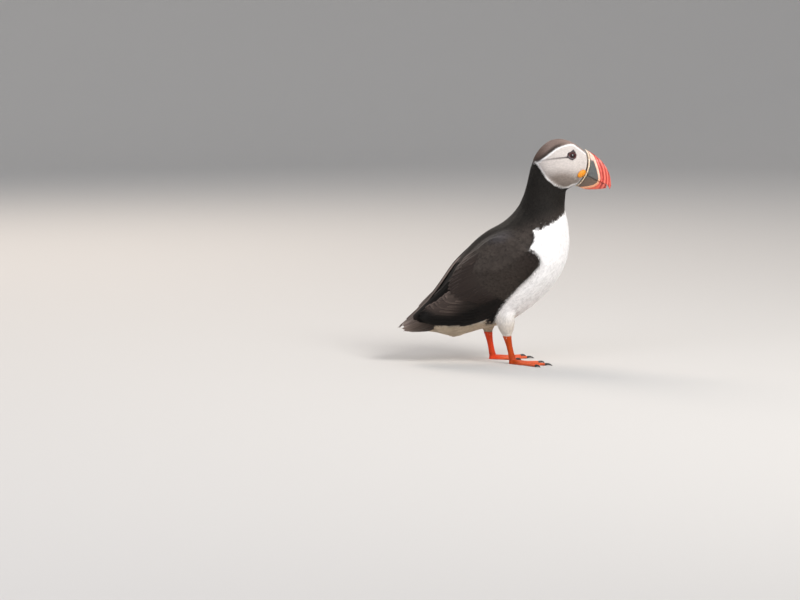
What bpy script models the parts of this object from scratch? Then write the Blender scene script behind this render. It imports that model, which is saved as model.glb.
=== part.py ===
"""Life-size Atlantic puffin, standing alert with its right foot a short step ahead of the left.

Frame: the bird faces +X, its left side is +Y, +Z is up. The floor is z = 0, and the origin lies on it
under the middle of the bird. Sizes are written in millimetres, and MM turns them into metres.
The solids give the outline of the plumage, out to the tips of the feathers. The body is one smooth
loft, parted with thin flat cuts into tail, trunk and neck; the head is a loft of its own.
"""

import math

import bmesh
import bpy
from mathutils import Matrix, Vector

MM = 0.001
GAP = 0.3  # clearance between two pieces that meet

# A cross-section stands in a plane across the bird: its upper and its lower end in the XZ plane,
# half its width, how far down its widest line is, as a share of the way from top to bottom, and how
# far its middle bows forward of the straight line between its ends, where it does.
BODY = (
    ((-106.5, 36.5), (-104.5, 31.5), 12.0, 0.50),  # tips of the tail feathers
    ((-93.5, 47.5), (-92.0, 31.0), 18.0, 0.45),  # middle of the tail
    ((-79.0, 61.5), (-73.0, 29.5), 18.5, 0.45),  # tail coverts
    ((-64.5, 80.5), (-51.0, 25.5), 23.5, 0.48),  # rump and vent
    ((-48.5, 104.0), (-25.0, 32.0), 29.5, 0.50),  # lower back
    ((-32.5, 123.5), (2.5, 39.3), 34.0, 0.54),  # hips
    ((-18.5, 134.8), (26.8, 54.6), 37.5, 0.55),  # middle of the back
    ((-6.0, 142.0), (48.2, 75.2), 39.5, 0.58),  # keel of the breast
    ((3.8, 149.3), (62.0, 97.6), 38.5, 0.58),  # shoulders
    ((11.4, 157.8), (67.0, 120.6), 33.5, 0.56),  # crop
    ((17.6, 168.4), (65.2, 141.4), 26.0, 0.52),  # base of the neck
    ((21.4, 180.4), (61.8, 157.0), 21.8, 0.50),  # narrowest part of the neck
    ((24.0, 192.0), (62.2, 168.6), 20.3, 0.50),  # collar
    ((26.6, 204.0), (63.5, 179.0), 17.5, 0.50),  # inside the head
)
TAIL_CUT, NECK_CUT, NECK_TOP = 2.25, 9.4, 12.9  # places along BODY, counted in sections
BODY_SIDES, BODY_STEPS = 28, 3  # points round a section, and rings from one section to the next

HEAD = (
    ((27.6, 204.2), (28.8, 199.6), 3.0, 0.50, 0.0),  # nape
    ((30.0, 210.6), (32.6, 192.4), 11.0, 0.52, 0.0),
    ((36.3, 219.6), (39.8, 182.4), 17.8, 0.56, 0.0),
    ((45.3, 226.8), (48.4, 176.4), 20.8, 0.59, 0.0),  # cheeks
    ((56.0, 228.8), (57.0, 174.4), 21.3, 0.60, 0.5),
    ((66.3, 226.0), (64.4, 176.2), 19.3, 0.60, 2.6),  # eyes
    ((74.0, 221.2), (68.0, 178.8), 15.0, 0.60, 5.2),
    ((79.8, 216.4), (70.3, 180.3), 10.4, 0.60, 7.6),  # base of the bill
)
HEAD_STEPS = 3
BALL_SEGMENTS, BALL_RINGS = 14, 9  # of an eye, and of the fold of skin at the mouth
EYE_PLACE, EYE_ANGLE = 4.96, 50.5  # along HEAD, and in degrees down from the crown
EYE_RADIUS, EYE_OPENING = 4.9, 3.1  # the ball, and the round of it that shows

# The base of the whole bill is one bowed line: its upper end, lower end and bow. The mouth meets it
# this share of the way down, and the slit between the halves is this share of it.
BASE_TOP, BASE_LOW, BASE_BOW = (82.6, 216.3), (73.3, 179.6), 7.6
MOUTH, MOUTH_GAP = 0.69, 0.014
# The two halves, from their middle base to the tip: upper end, lower end, half width, forward bow.
BILL_UPPER = (
    ((82.6, 216.3), (83.2, 191.3), 8.4, 4.4),
    ((90.5, 211.7), (89.0, 188.3), 7.8, 2.8),
    ((98.0, 205.3), (95.0, 185.4), 6.7, 1.2),
    ((103.6, 197.6), (100.0, 182.9), 5.1, 0.6),
    ((107.0, 189.0), (103.8, 181.0), 3.3, 0.2),
    ((107.9, 180.4), (106.8, 176.4), 1.1, 0.0),
)
BILL_LOWER = (
    ((82.9, 190.8), (73.3, 179.6), 7.9, 2.2),
    ((87.5, 188.6), (81.5, 176.5), 7.3, 1.4),
    ((92.5, 186.1), (89.5, 176.2), 6.2, 0.5),
    ((98.0, 183.4), (97.0, 176.5), 4.5, 0.1),
    ((103.4, 180.6), (102.8, 177.3), 2.6, 0.0),
)
BILL_SIDES, BILL_STEPS = 8, 2  # points down one side of a section, and rings between sections
BILL_RIDGE = 0.14  # width of the bill's upper and lower edges, as a share of the widest
RIM_BACK, RIM_FRONT = 2.2, 0.45  # the raised rim's back and front, measured back from the bill's base
RIM_PROUD = 1.1  # how far the rim stands out round the bill
RIM_SIDES = 24

# The fold of skin at the corner of the mouth, and plates of horn above and below the eye.
ROSETTE_PLACE, ROSETTE_ANGLE, ROSETTE_TURN = 6.36, 98.0, 28.0
ROSETTE_SIZE = (5.2, 3.4, 2.2)  # half length, half width, and height above the skin
BROW_PLATE = ((-1.8, 3.3), (1.9, 3.3), (0.9, 6.9))  # outlines forward and up from the eye's centre
LID_PLATE = ((-5.8, -2.2), (-3.0, -4.2), (1.4, -5.3), (1.8, -3.6), (-2.4, -2.7))
PLATE_PROUD = 1.0
FACE_SLOPE = -0.12  # the plates and the fold are level with a line that drops this much forward

# A folded wing lies on the body as a shell: place along BODY, its upper and lower edge in degrees
# round from the back, and its thickness. The left wing's tip lies further out on the tail.
WING = (
    (0.95, 22.0, 66.0, 1.4),  # tips of the primaries
    (1.35, 16.0, 100.0, 2.4),
    (2.0, 18.0, 117.0, 3.4),
    (3.0, 30.0, 122.0, 4.8),
    (4.0, 31.0, 133.0, 6.2),
    (5.0, 26.0, 120.0, 7.4),
    (6.0, 25.0, 107.0, 7.8),
    (6.6, 30.0, 103.0, 7.4),
    (7.1, 41.0, 100.0, 6.4),
    (7.4, 56.0, 97.0, 5.0),
    (7.55, 72.0, 91.0, 3.2),  # wrist
)
WING_REACH = {"left": 0.45, "right": 0.0}  # how much nearer the tail's end the tip lies, in sections
WING_STEPS, WING_SPAN = 2, 9  # rings between sections, and faces across the wing
WING_GAP = 0.45  # wider than other gaps, because both facets bend
WING_EDGE = 0.22  # thickness of the edges, as a share of the thickest

SIDES = {"left": 1, "right": -1}  # the bird's left is +Y

# Legs: the places of the ankle and of the foot's heel, and how far the toes turn out.
ANKLE_HEIGHT, HEEL_HEIGHT = 28.5, 5.0
LEGS = {
    "right": {"ankle_x": 2.0, "heel_x": 7.5, "toe_out": 24.0},
    "left": {"ankle_x": -16.0, "heel_x": -11.5, "toe_out": 6.0},
}
HIP_Y, ANKLE_Y, HEEL_Y = 17.0, 19.5, 20.0
# Half length fore and aft, half width, and share of the way down the thigh or the shank.
THIGH = ((9.0, 5.0, 0.0), (11.6, 8.4, 0.30), (10.6, 8.0, 0.62), (7.6, 6.2, 0.88), (5.3, 4.5, 1.0))
THIGH_TOP = (-4.0, 62.0)  # forward of the ankle, and above the floor
SHANK = ((4.7, 3.6, 0.0), (4.0, 3.1, 0.16), (3.2, 2.4, 0.42), (3.1, 2.3, 0.72), (3.6, 3.0, 1.0))
LEG_SIDES = 14
TOES = {  # turned in from the middle toe, length, radius at the foot and at the claw, claw's sideways bend
    "inner": (31.0, 27.0, 2.1, 1.5, 34.0),
    "middle": (0.0, 36.0, 2.4, 1.6, 8.0),
    "outer": (-25.0, 34.5, 2.2, 1.5, -6.0),
}
WEB_THICK = 1.1
WEB_REACH, WEB_SCALLOP = 0.97, 0.86  # the web's edge at the toes' tips, and half way between two toes
SOLE_CUT = 1.0  # the foot's pieces go this far under the floor before they are cut flat on it
CLAW_LENGTH, CLAW_DROP, CLAW_RADIUS, CLAW_STEPS = 7.5, 0.9, 1.25, 4

PLUMAGE_BLACK = (0.030, 0.027, 0.026, 1.0)
PLUMAGE_WHITE = (0.80, 0.78, 0.76, 1.0)
FACE_GREY = (0.62, 0.58, 0.55, 1.0)
BILL_RED = (0.80, 0.13, 0.06, 1.0)
RIM_CREAM = (0.82, 0.66, 0.42, 1.0)
ROSETTE_ORANGE = (0.85, 0.36, 0.02, 1.0)
EYE_BROWN = (0.06, 0.02, 0.02, 1.0)
PLATE_GREY = (0.10, 0.09, 0.11, 1.0)
LEG_ORANGE = (0.86, 0.20, 0.05, 1.0)
CLAW_BLACK = (0.03, 0.025, 0.022, 1.0)


# ---------------------------------------------------------------- scene, materials, helpers


def clear_scene():
    for old in list(bpy.data.objects):
        bpy.data.objects.remove(old)


def new_collection(name):
    collection = bpy.data.collections.new(name)
    bpy.context.scene.collection.children.link(collection)
    return collection


def finish(name, colour, roughness):
    """A Principled material with no metal in it."""
    material = bpy.data.materials.new(name)
    material.use_nodes = True
    shader = material.node_tree.nodes["Principled BSDF"]
    shader.inputs["Base Color"].default_value = colour
    shader.inputs["Roughness"].default_value = roughness
    shader.inputs["Metallic"].default_value = 0.0
    return material


def add_object(name, mesh, collection, material=None):
    made = bpy.data.objects.new(name, mesh)
    collection.objects.link(made)
    if material:
        mesh.materials.append(material)
    return made


def mesh_of(name, form, smooth_angle=math.radians(40)):
    """Ends a bmesh: normals outward, edges under the angle smooth."""
    bmesh.ops.recalc_face_normals(form, faces=form.faces)
    mesh = bpy.data.meshes.new(name)
    form.to_mesh(mesh)
    form.free()
    mesh.shade_smooth()
    mesh.set_sharp_from_angle(angle=smooth_angle)
    return mesh


def loft(name, rings):
    """A closed skin over rings of points, in metres. Each end is closed by strips straight across."""
    form = bmesh.new()
    loops = [[form.verts.new(point) for point in ring] for ring in rings]
    count = len(loops[0])
    for near, far in zip(loops, loops[1:]):
        for i in range(count):
            j = (i + 1) % count
            form.faces.new((near[i], near[j], far[j], far[i]))
    for ring in (loops[0], loops[-1]):
        for i in range(count // 2 - 1):
            form.faces.new((ring[i], ring[i + 1], ring[-2 - i], ring[-1 - i]))
    return mesh_of(name, form)


def sample(rows, place):
    """The row of numbers at a place along a table of rows, on a smooth curve through all of them."""
    at = min(max(place, 0.0), len(rows) - 1.0)
    i = min(int(at), len(rows) - 2)
    f = at - i
    b, c = Vector(rows[i]), Vector(rows[i + 1])
    a = Vector(rows[i - 1]) if i else b * 2 - c
    d = Vector(rows[i + 2]) if i + 2 < len(rows) else c * 2 - b
    return (b * 2 + (c - a) * f + (a * 2 - b * 5 + c * 4 - d) * f**2 + (b * 3 - a - c * 3 + d) * f**3) / 2


def places(start, end, steps):
    """Places from start to end, about this many for each section of a table, both ends among them."""
    count = max(1, round((end - start) * steps))
    return [start + (end - start) * i / count for i in range(count + 1)]


def flat_rows(table):
    return [(*top, *bottom, *rest) for top, bottom, *rest in table]


def down_section(row, share):
    """The point this share of the way from the upper to the lower end of a section, with its bow."""
    top_x, top_z, bottom_x, bottom_z, *_, bow = row
    forward = bow * (4 * share * (1 - share)) ** 0.7
    return top_x + share * (bottom_x - top_x) + forward, top_z + share * (bottom_z - top_z)


def section_point(rows, place, angle):
    """A point of a body section, in millimetres. The angle runs from the back down the left side."""
    row = sample(rows, place)
    share = ((1 - math.cos(angle)) / 2) ** (math.log(row[5]) / math.log(0.5))
    x, z = down_section(row, share)
    return Vector((x, row[4] * math.sin(angle), z))


def surface_point(rows, place, angle, out=0.0):
    """A point of a lofted surface and the outward normal there, moved out along it, in millimetres."""
    step = 0.02
    along = section_point(rows, place + step, angle) - section_point(rows, place - step, angle)
    around = section_point(rows, place, angle + step) - section_point(rows, place, angle - step)
    normal = along.cross(around).normalized()
    return section_point(rows, place, angle) + normal * out, normal


def section_ring(rows, place, out=0.0, sides=BODY_SIDES):
    turn = 2 * math.pi / sides
    return [surface_point(rows, place, (i + 0.5) * turn, out)[0] * MM for i in range(sides)]


def section_loft(name, rows, start, end, steps, out=0.0):
    return loft(name, [section_ring(rows, place, out) for place in places(start, end, steps)])


def cut(target, cutter, operation="DIFFERENCE"):
    modifier = target.modifiers.new(cutter.name, "BOOLEAN")
    modifier.operation = operation
    modifier.object = cutter
    modifier.solver = "EXACT"


def guide(cutter):
    cutter.hide_render = True
    cutter.display_type = "WIRE"
    return cutter


def apply_modifiers(target):
    """Turns what the modifiers give into the object's own mesh."""
    bpy.context.view_layer.update()
    graph = bpy.context.evaluated_depsgraph_get()
    mesh = bpy.data.meshes.new_from_object(target.evaluated_get(graph))
    target.modifiers.clear()
    target.data = mesh


def mesh_from_curve(curve_object):
    """A closed mesh object in the place of a curve object."""
    bpy.context.view_layer.update()
    graph = bpy.context.evaluated_depsgraph_get()
    mesh = bpy.data.meshes.new_from_object(curve_object.evaluated_get(graph))
    form = bmesh.new()
    form.from_mesh(mesh)
    bmesh.ops.remove_doubles(form, verts=form.verts, dist=0.00001)
    bmesh.ops.recalc_face_normals(form, faces=form.faces)
    form.to_mesh(mesh)
    form.free()
    made = add_object(curve_object.name, mesh, curve_object.users_collection[0])
    made.matrix_world = curve_object.matrix_world
    name = curve_object.name
    bpy.data.objects.remove(curve_object)
    made.name = name
    return made


# ---------------------------------------------------------------- body, head and wings


def column(name, path, sizes):
    """A loft of level ovals along a path in millimetres; sizes are half lengths fore and aft, and sideways."""
    turn = 2 * math.pi / LEG_SIDES
    rings = []
    for centre, (deep, wide) in zip(path, sizes):
        oval = [Vector((deep * math.cos(k * turn), wide * math.sin(k * turn), 0)) for k in range(LEG_SIDES)]
        rings.append([(centre + point) * MM for point in oval])
    return loft(name, rings)


def wing_mesh(word, body_rows, out=0.0):
    """The folded wing as a shell that lies on the body with a gap under it, or grown outward all round."""
    side = SIDES[word]
    rings = []
    for at in places(0, len(WING) - 1, WING_STEPS):
        place, upper, lower, thick = sample(WING, at)
        place -= WING_REACH[word] * max(0.0, 1 - at / 2)
        lower += 4 * out
        outer, inner = [], []
        for i in range(WING_SPAN + 1):
            share = i / WING_SPAN
            angle = side * math.radians(upper + (lower - upper) * share)
            bulge = WING_EDGE + (1 - WING_EDGE) * math.sin(math.pi * share**0.85) ** 0.7
            outer.append(surface_point(body_rows, place, angle, WING_GAP + thick * bulge + out)[0] * MM)
            inner.append(surface_point(body_rows, place, angle, WING_GAP - 2 * out)[0] * MM)
        rings.append(outer + inner[::-1])
    return loft("wing", rings)


def bill_half(name, table, sharp_end, base_shares):
    """A half of the bill, narrowing to a ridge at its sharp end, which is 0 for the upper end of a section
    and 1 for the lower. Its back follows the bill's base between two shares of the way down."""
    rows = flat_rows(table)
    base = (*BASE_TOP, *BASE_LOW, BASE_BOW)
    rings = []
    for at in places(0, len(rows) - 1, BILL_STEPS):
        row = sample(rows, at)
        left, right = [], []
        for i in range(BILL_SIDES + 1):
            bend = math.pi / 2 * i / BILL_SIDES
            share = math.sin(bend) if sharp_end else 1 - math.cos(bend)
            y = row[4] * (BILL_RIDGE + (1 - BILL_RIDGE) * abs(share - sharp_end) ** 0.55)
            x, z = down_section(row, share)
            if at == 0:
                x, z = down_section(base, base_shares[0] + share * (base_shares[1] - base_shares[0]))
            left.append(Vector((x, y, z)) * MM)
            right.append(Vector((x, -y, z)) * MM)
        rings.append(left + right[::-1])
    return loft(name, rings)


def bill_rim_mesh(name, out=0.0):
    """The raised rim round the base of both halves of the bill, or grown outward all round."""
    middle, reach = (RIM_BACK + RIM_FRONT) / 2, (RIM_BACK - RIM_FRONT) / 2 + out
    turn = 2 * math.pi / RIM_SIDES
    rings = []
    for share, proud in ((1.0, 0.3), (0.5, 1.0), (-0.5, 0.9), (-1.0, 0.3)):
        back = middle + reach * share
        grow = RIM_PROUD * proud + out
        row = (BASE_TOP[0] - back, BASE_TOP[1] + grow * 0.6, BASE_LOW[0] - back, BASE_LOW[1] - grow * 0.6)
        row += (BILL_UPPER[0][2] + grow, 0.5, BASE_BOW)
        rings.append([section_point([row, row], 0, (i + 0.5) * turn) * MM for i in range(RIM_SIDES)])
    return loft(name, rings)


def set_in_frame(made, frame):
    """Moves an object's mesh into a frame, which may be a mirrored one."""
    made.data.transform(frame)
    if frame.determinant() < 0:
        made.data.flip_normals()


def plate(name, outline, frame, collection):
    """A thin plate of horn with this outline, standing in a frame on the head."""
    curve = bpy.data.curves.new(name, "CURVE")
    curve.dimensions = "2D"
    curve.fill_mode = "BOTH"
    curve.extrude = PLATE_PROUD * MM
    spline = curve.splines.new("POLY")
    spline.points.add(len(outline) - 1)
    for point, (x, y) in zip(spline.points, outline):
        point.co = (x * MM, y * MM, 0, 1)
    spline.use_cyclic_u = True
    made = bpy.data.objects.new(name, curve)
    collection.objects.link(made)
    made = mesh_from_curve(made)
    set_in_frame(made, frame)
    return made


def head_frame(side, head_rows, place, angle):
    """A point of the head's surface, with axes forward, up and outward."""
    point, normal = surface_point(head_rows, place, math.radians(angle) * side)
    forward = Vector((1, 0, FACE_SLOPE))
    forward = (forward - normal * normal.dot(forward)).normalized()
    up = forward.cross(normal) * side
    frame = Matrix((forward, up if up.z > 0 else -up, normal)).transposed().to_4x4()
    frame.translation = point * MM
    return frame


def ball(name, radii, collection, material=None):
    """A ball, or a ball stretched along its axes, about the origin; radii in millimetres."""
    form = bmesh.new()
    bmesh.ops.create_uvsphere(form, u_segments=BALL_SEGMENTS, v_segments=BALL_RINGS, radius=MM)
    bmesh.ops.scale(form, vec=radii, verts=form.verts)
    return add_object(name, mesh_of(name, form), collection, material)


# ---------------------------------------------------------------- feet


def turned(length, degrees, height=0.0):
    angle = math.radians(degrees)
    return Vector((length * math.cos(angle), length * math.sin(angle), height))


def curved_rod(name, points, radii, collection):
    """A tapered round rod along points in millimetres, as a mesh."""
    curve = bpy.data.curves.new(name, "CURVE")
    curve.dimensions = "3D"
    curve.bevel_depth = MM
    curve.bevel_resolution = 2
    curve.use_fill_caps = True
    spline = curve.splines.new("POLY")
    spline.points.add(len(points) - 1)
    for point, place, radius in zip(spline.points, points, radii):
        point.co = (*(place * MM), 1)
        point.radius = radius
    made = bpy.data.objects.new(name, curve)
    collection.objects.link(made)
    return mesh_from_curve(made)


def web_outline(side):
    """The web's edge, in millimetres: out along one toe, scalloped to the next, and back."""
    tips = [turned(length * WEB_REACH, -side * degrees) for degrees, length, *_ in TOES.values()]
    outline = [Vector((-3.2, 0, 0)), Vector((-1.5, 3.0 * -side, 0))]
    for tip, following in zip(tips, tips[1:]):
        for i in range(5):
            share = i / 5
            straight = tip.lerp(following, share)
            outline.append(straight * (1 - (1 - WEB_SCALLOP) * math.sin(math.pi * share)))
    outline += [tips[-1], Vector((-1.5, 3.0 * side, 0))]
    return outline


def foot(name, side, collection, helpers, material):
    """Three toes in one web, with a flat sole on the floor. Its own origin is under the heel."""
    form = bmesh.new()
    sunk = Vector((0, 0, -SOLE_CUT))
    edge = [form.verts.new((point + sunk) * MM) for point in web_outline(side)]
    face = form.faces.new(edge)
    raised = bmesh.ops.extrude_face_region(form, geom=[face])["geom"]
    lifted = [part for part in raised if isinstance(part, bmesh.types.BMVert)]
    bmesh.ops.translate(form, vec=(0, 0, (WEB_THICK + SOLE_CUT) * MM), verts=lifted)
    made = add_object(name, mesh_of(name, form), collection, material)
    joined = []
    for toe, (degrees, length, thick, thin, _) in TOES.items():
        path = [turned(length * share, -side * degrees, 1.2) for share in (0.03, 0.28, 0.55, 0.8, 1.0)]
        path[0].z = HEEL_HEIGHT - thick - 0.4
        path[1].z = 1.8
        radii = (thick + 0.3, thick, (thick + thin) / 2 - 0.1, thin + 0.1, thin)
        joined.append(curved_rod(f"{name}_{toe}_toe", path, radii, helpers))
    form = bmesh.new()
    bmesh.ops.create_cone(
        form,
        cap_ends=True,
        segments=14,
        radius1=3.8 * MM,
        radius2=3.1 * MM,
        depth=(HEEL_HEIGHT + SOLE_CUT) * MM,
    )
    bmesh.ops.translate(form, vec=(0, 0, (HEEL_HEIGHT - SOLE_CUT) / 2 * MM), verts=form.verts)
    joined.append(add_object(f"{name}_heel", mesh_of("heel", form), helpers))
    for piece in joined:
        cut(made, guide(piece), "UNION")
    form = bmesh.new()
    bmesh.ops.create_cube(form, size=0.2)
    bmesh.ops.translate(form, vec=(0, 0, -0.1), verts=form.verts)
    below = add_object(f"{name}_below", mesh_of("below", form), helpers)
    cut(made, guide(below))
    apply_modifiers(made)
    return made


def claw(name, side, toe, collection, material):
    """A curved claw that rests on the floor at its root and dips to it again at its tip."""
    degrees, length, _, thin, bend = TOES[toe]
    heading = -side * degrees
    path = [turned(length + thin * 0.2 + GAP, heading)]
    radii = []
    for i in range(CLAW_STEPS + 1):
        share = i / CLAW_STEPS
        if i:
            path.append(path[-1] + turned(CLAW_LENGTH / CLAW_STEPS, heading - side * bend * share))
        path[-1].z = CLAW_RADIUS + 0.7 * math.sin(math.pi * share) - CLAW_DROP * share**2
        radii.append(CLAW_RADIUS * (1 - share) ** 0.7 + 0.25 * share)
    made = curved_rod(name, path, radii, collection)
    made.data.materials.append(material)
    return made


# ---------------------------------------------------------------- building the bird


def build_body(parts, helpers, white, black, grey):
    rows = [(*row, 0.0) for row in flat_rows(BODY)]  # these sections have no bow
    head_rows = flat_rows(HEAD)
    half_gap = GAP / 2 / 18  # half the gap, in sections, where sections stand about 18 mm apart
    spans = {
        "tail": (0.0, TAIL_CUT - half_gap, black),
        "trunk": (TAIL_CUT + half_gap, NECK_CUT - half_gap, white),
        "neck": (NECK_CUT + half_gap, NECK_TOP, black),
    }
    made = {}
    for name, (start, end, material) in spans.items():
        mesh = section_loft(name, rows, start, end, BODY_STEPS)
        made[name] = add_object(name, mesh, parts, material)
    last = len(head_rows) - 1
    made["head"] = add_object("head", section_loft("head", head_rows, 0, last, HEAD_STEPS), parts, grey)
    head_cutter = section_loft("head_cutter", head_rows, 0, last, HEAD_STEPS, GAP)
    made["head_cutter"] = guide(add_object("head_cutter", head_cutter, helpers))
    cut(made["neck"], made["head_cutter"])
    trunk_cutter = section_loft("trunk_cutter", rows, 1.5, NECK_CUT, BODY_STEPS, GAP)
    made["trunk_cutter"] = guide(add_object("trunk_cutter", trunk_cutter, helpers))
    for word in SIDES:
        name, cutter = f"wing_{word}", f"wing_{word}_cutter"
        made[name] = add_object(name, wing_mesh(word, rows), parts, black)
        made[cutter] = guide(add_object(cutter, wing_mesh(word, rows, GAP), helpers))
    return made


def build_bill(parts, helpers, bill, rim):
    """Both halves of the bill and the rim round their base. Gives a cutter of the rim."""
    add_object("bill_upper", bill_half("bill_upper", BILL_UPPER, 0, (0, MOUTH)), parts, bill)
    add_object("bill_lower", bill_half("bill_lower", BILL_LOWER, 1, (MOUTH + MOUTH_GAP, 1)), parts, bill)
    add_object("bill_rim", bill_rim_mesh("bill_rim"), parts, rim)
    return guide(add_object("bill_rim_cutter", bill_rim_mesh("bill_rim_cutter", GAP), helpers))


def build_face(made, rim_cutter, parts, helpers, finishes):
    """On each side an eye in its socket, the plates of horn round it, and the fold at the mouth."""
    head_rows = flat_rows(HEAD)
    for word, side in SIDES.items():
        frame = head_frame(side, head_rows, EYE_PLACE, EYE_ANGLE)
        depth = math.sqrt(EYE_RADIUS**2 - EYE_OPENING**2)
        centre = frame @ Vector((0, 0, -depth * MM))
        eye = ball(f"eye_{word}", (EYE_RADIUS,) * 3, parts, finishes["eye"])
        socket = guide(ball(f"socket_{word}", (EYE_RADIUS + GAP,) * 3, helpers))
        for item in (eye, socket):
            item.data.transform(Matrix.Translation(centre))
        cut(made["head"], socket)
        for kind, outline in (("brow", BROW_PLATE), ("lid", LID_PLATE)):
            horn = plate(f"{kind}_plate_{word}", outline, frame, parts)
            horn.data.materials.append(finishes["plate"])
            cut(horn, made["head_cutter"])
        rosette = ball(f"gape_{word}", ROSETTE_SIZE, parts, finishes["rosette"])
        rosette.data.transform(Matrix.Rotation(math.radians(ROSETTE_TURN), 4, "Z"))
        set_in_frame(rosette, head_frame(side, head_rows, ROSETTE_PLACE, ROSETTE_ANGLE))
        cut(rosette, made["head_cutter"])
        cut(rosette, rim_cutter)


def build_leg(word, leg, made, parts, helpers, finishes):
    side = SIDES[word]
    ankle = Vector((leg["ankle_x"], side * ANKLE_Y, ANKLE_HEIGHT))
    heel = Vector((leg["heel_x"], side * HEEL_Y, HEEL_HEIGHT + GAP))
    hip = Vector((leg["ankle_x"] + THIGH_TOP[0], side * HIP_Y, THIGH_TOP[1]))
    lower_end = ankle + Vector((0, 0, GAP))
    thigh_path = [hip.lerp(lower_end, share) for *_, share in THIGH]
    thigh = column(f"thigh_{word}", thigh_path, [size[:2] for size in THIGH])
    made[f"thigh_{word}"] = add_object(f"thigh_{word}", thigh, parts, finishes["white"])
    cut(made[f"thigh_{word}"], made["trunk_cutter"])
    cut(made[f"thigh_{word}"], made[f"wing_{word}_cutter"])
    shank_path = [ankle.lerp(heel, share) for *_, share in SHANK]
    shank = column(f"shank_{word}", shank_path, [size[:2] for size in SHANK])
    made[f"shank_{word}"] = add_object(f"shank_{word}", shank, parts, finishes["leg"])
    stance = bpy.data.objects.new(f"stance_{word}", None)
    parts.objects.link(stance)
    stance.location = (leg["heel_x"] * MM, side * HEEL_Y * MM, 0)
    stance.rotation_euler = (0, 0, math.radians(side * leg["toe_out"]))
    members = [foot(f"foot_{word}", side, parts, helpers, finishes["leg"])]
    members += [claw(f"claw_{word}_{toe}", side, toe, parts, finishes["claw"]) for toe in TOES]
    for member in members:
        member.parent = stance


def stand_on_origin(parts):
    """Moves the whole bird so that the origin is on the floor under the middle of its box."""
    bpy.context.view_layer.update()
    graph = bpy.context.evaluated_depsgraph_get()
    solids = [item for item in parts.objects if item.type == "MESH"]
    corners = [
        item.matrix_world @ Vector(corner) for item in solids for corner in item.evaluated_get(graph).bound_box
    ]
    low = Vector(min(corner[axis] for corner in corners) for axis in range(3))
    high = Vector(max(corner[axis] for corner in corners) for axis in range(3))
    shift = Vector((-(low.x + high.x) / 2, -(low.y + high.y) / 2, -low.z))
    for item in bpy.data.objects:
        if item.parent is None:
            item.location += shift


def main():
    clear_scene()
    parts, helpers = new_collection("atlantic_puffin"), new_collection("cutters")
    finishes = {
        "white": finish("white feathers", PLUMAGE_WHITE, 0.75),
        "black": finish("black feathers", PLUMAGE_BLACK, 0.6),
        "grey": finish("face feathers", FACE_GREY, 0.75),
        "bill": finish("bill horn", BILL_RED, 0.4),
        "rim": finish("bill rim", RIM_CREAM, 0.5),
        "rosette": finish("rosette skin", ROSETTE_ORANGE, 0.5),
        "eye": finish("eye", EYE_BROWN, 0.08),
        "plate": finish("eye plate horn", PLATE_GREY, 0.5),
        "leg": finish("leg skin", LEG_ORANGE, 0.45),
        "claw": finish("claw horn", CLAW_BLACK, 0.4),
    }
    made = build_body(parts, helpers, finishes["white"], finishes["black"], finishes["grey"])
    rim_cutter = build_bill(parts, helpers, finishes["bill"], finishes["rim"])
    build_face(made, rim_cutter, parts, helpers, finishes)
    for word, leg in LEGS.items():
        build_leg(word, leg, made, parts, helpers, finishes)
    stand_on_origin(parts)


main()
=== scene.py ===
"""The looks of a life-size Atlantic puffin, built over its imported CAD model.

One skin takes the place of body and legs, and small feathers grown by Geometry Nodes cover the body.
Quills, bill, eyes and the rings round them, horn plates, rosettes and claws are pieces of their own.
Sizes are in millimetres in the bird's own axes: x towards the bill, y to its left, z up from the floor.
"""

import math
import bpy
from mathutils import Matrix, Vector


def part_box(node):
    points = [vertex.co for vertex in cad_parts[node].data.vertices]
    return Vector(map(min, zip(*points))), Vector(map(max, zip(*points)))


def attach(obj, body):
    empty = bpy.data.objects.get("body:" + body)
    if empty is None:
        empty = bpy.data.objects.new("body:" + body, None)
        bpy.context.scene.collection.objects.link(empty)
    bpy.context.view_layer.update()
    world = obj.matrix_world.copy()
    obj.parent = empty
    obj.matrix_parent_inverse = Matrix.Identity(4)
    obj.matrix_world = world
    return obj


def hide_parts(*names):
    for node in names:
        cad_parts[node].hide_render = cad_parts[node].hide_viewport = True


bl_info = {
    "name": "Atlantic puffin model",
    "version": (1, 0, 0),
    "blender": (4, 5, 0),
    "location": "3D View > Sidebar > Puffin",
    "description": "Builds the skin, plumage, bill, eyes, feet and stage of a life-size puffin",
    "category": "Add Mesh",
}

import bmesh
import bpy
import numpy as np
from bpy.props import FloatProperty, FloatVectorProperty, IntProperty, PointerProperty
from mathutils import Vector
from mathutils.bvhtree import BVHTree
from mathutils.kdtree import KDTree

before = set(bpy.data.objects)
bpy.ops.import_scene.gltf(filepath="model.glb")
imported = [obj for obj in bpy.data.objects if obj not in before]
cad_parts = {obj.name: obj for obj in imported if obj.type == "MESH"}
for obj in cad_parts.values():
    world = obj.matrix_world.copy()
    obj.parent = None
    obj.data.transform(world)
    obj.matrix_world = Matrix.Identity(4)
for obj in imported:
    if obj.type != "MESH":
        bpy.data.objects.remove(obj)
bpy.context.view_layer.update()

MM = 0.001
SIDES = {"left": 1, "right": -1}
BILL_TIP_X = 107.9  # the bill's tip in the bird's own axes
EYE_RADIUS = 4.9
TAIL_STUMP = -93.0  # beyond this the tail is quills alone, and the skin is drawn in

WING_NODES = ("wing_left", "wing_right")
THIGH_NODES = ("thigh_left", "thigh_right")
BODY_NODES = ("head", "neck", "trunk", "tail", *WING_NODES, *THIGH_NODES)
LEG_NODES = ("shank_left", "shank_right", "foot_left", "foot_right")
TOES = ("inner", "middle", "outer")

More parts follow.
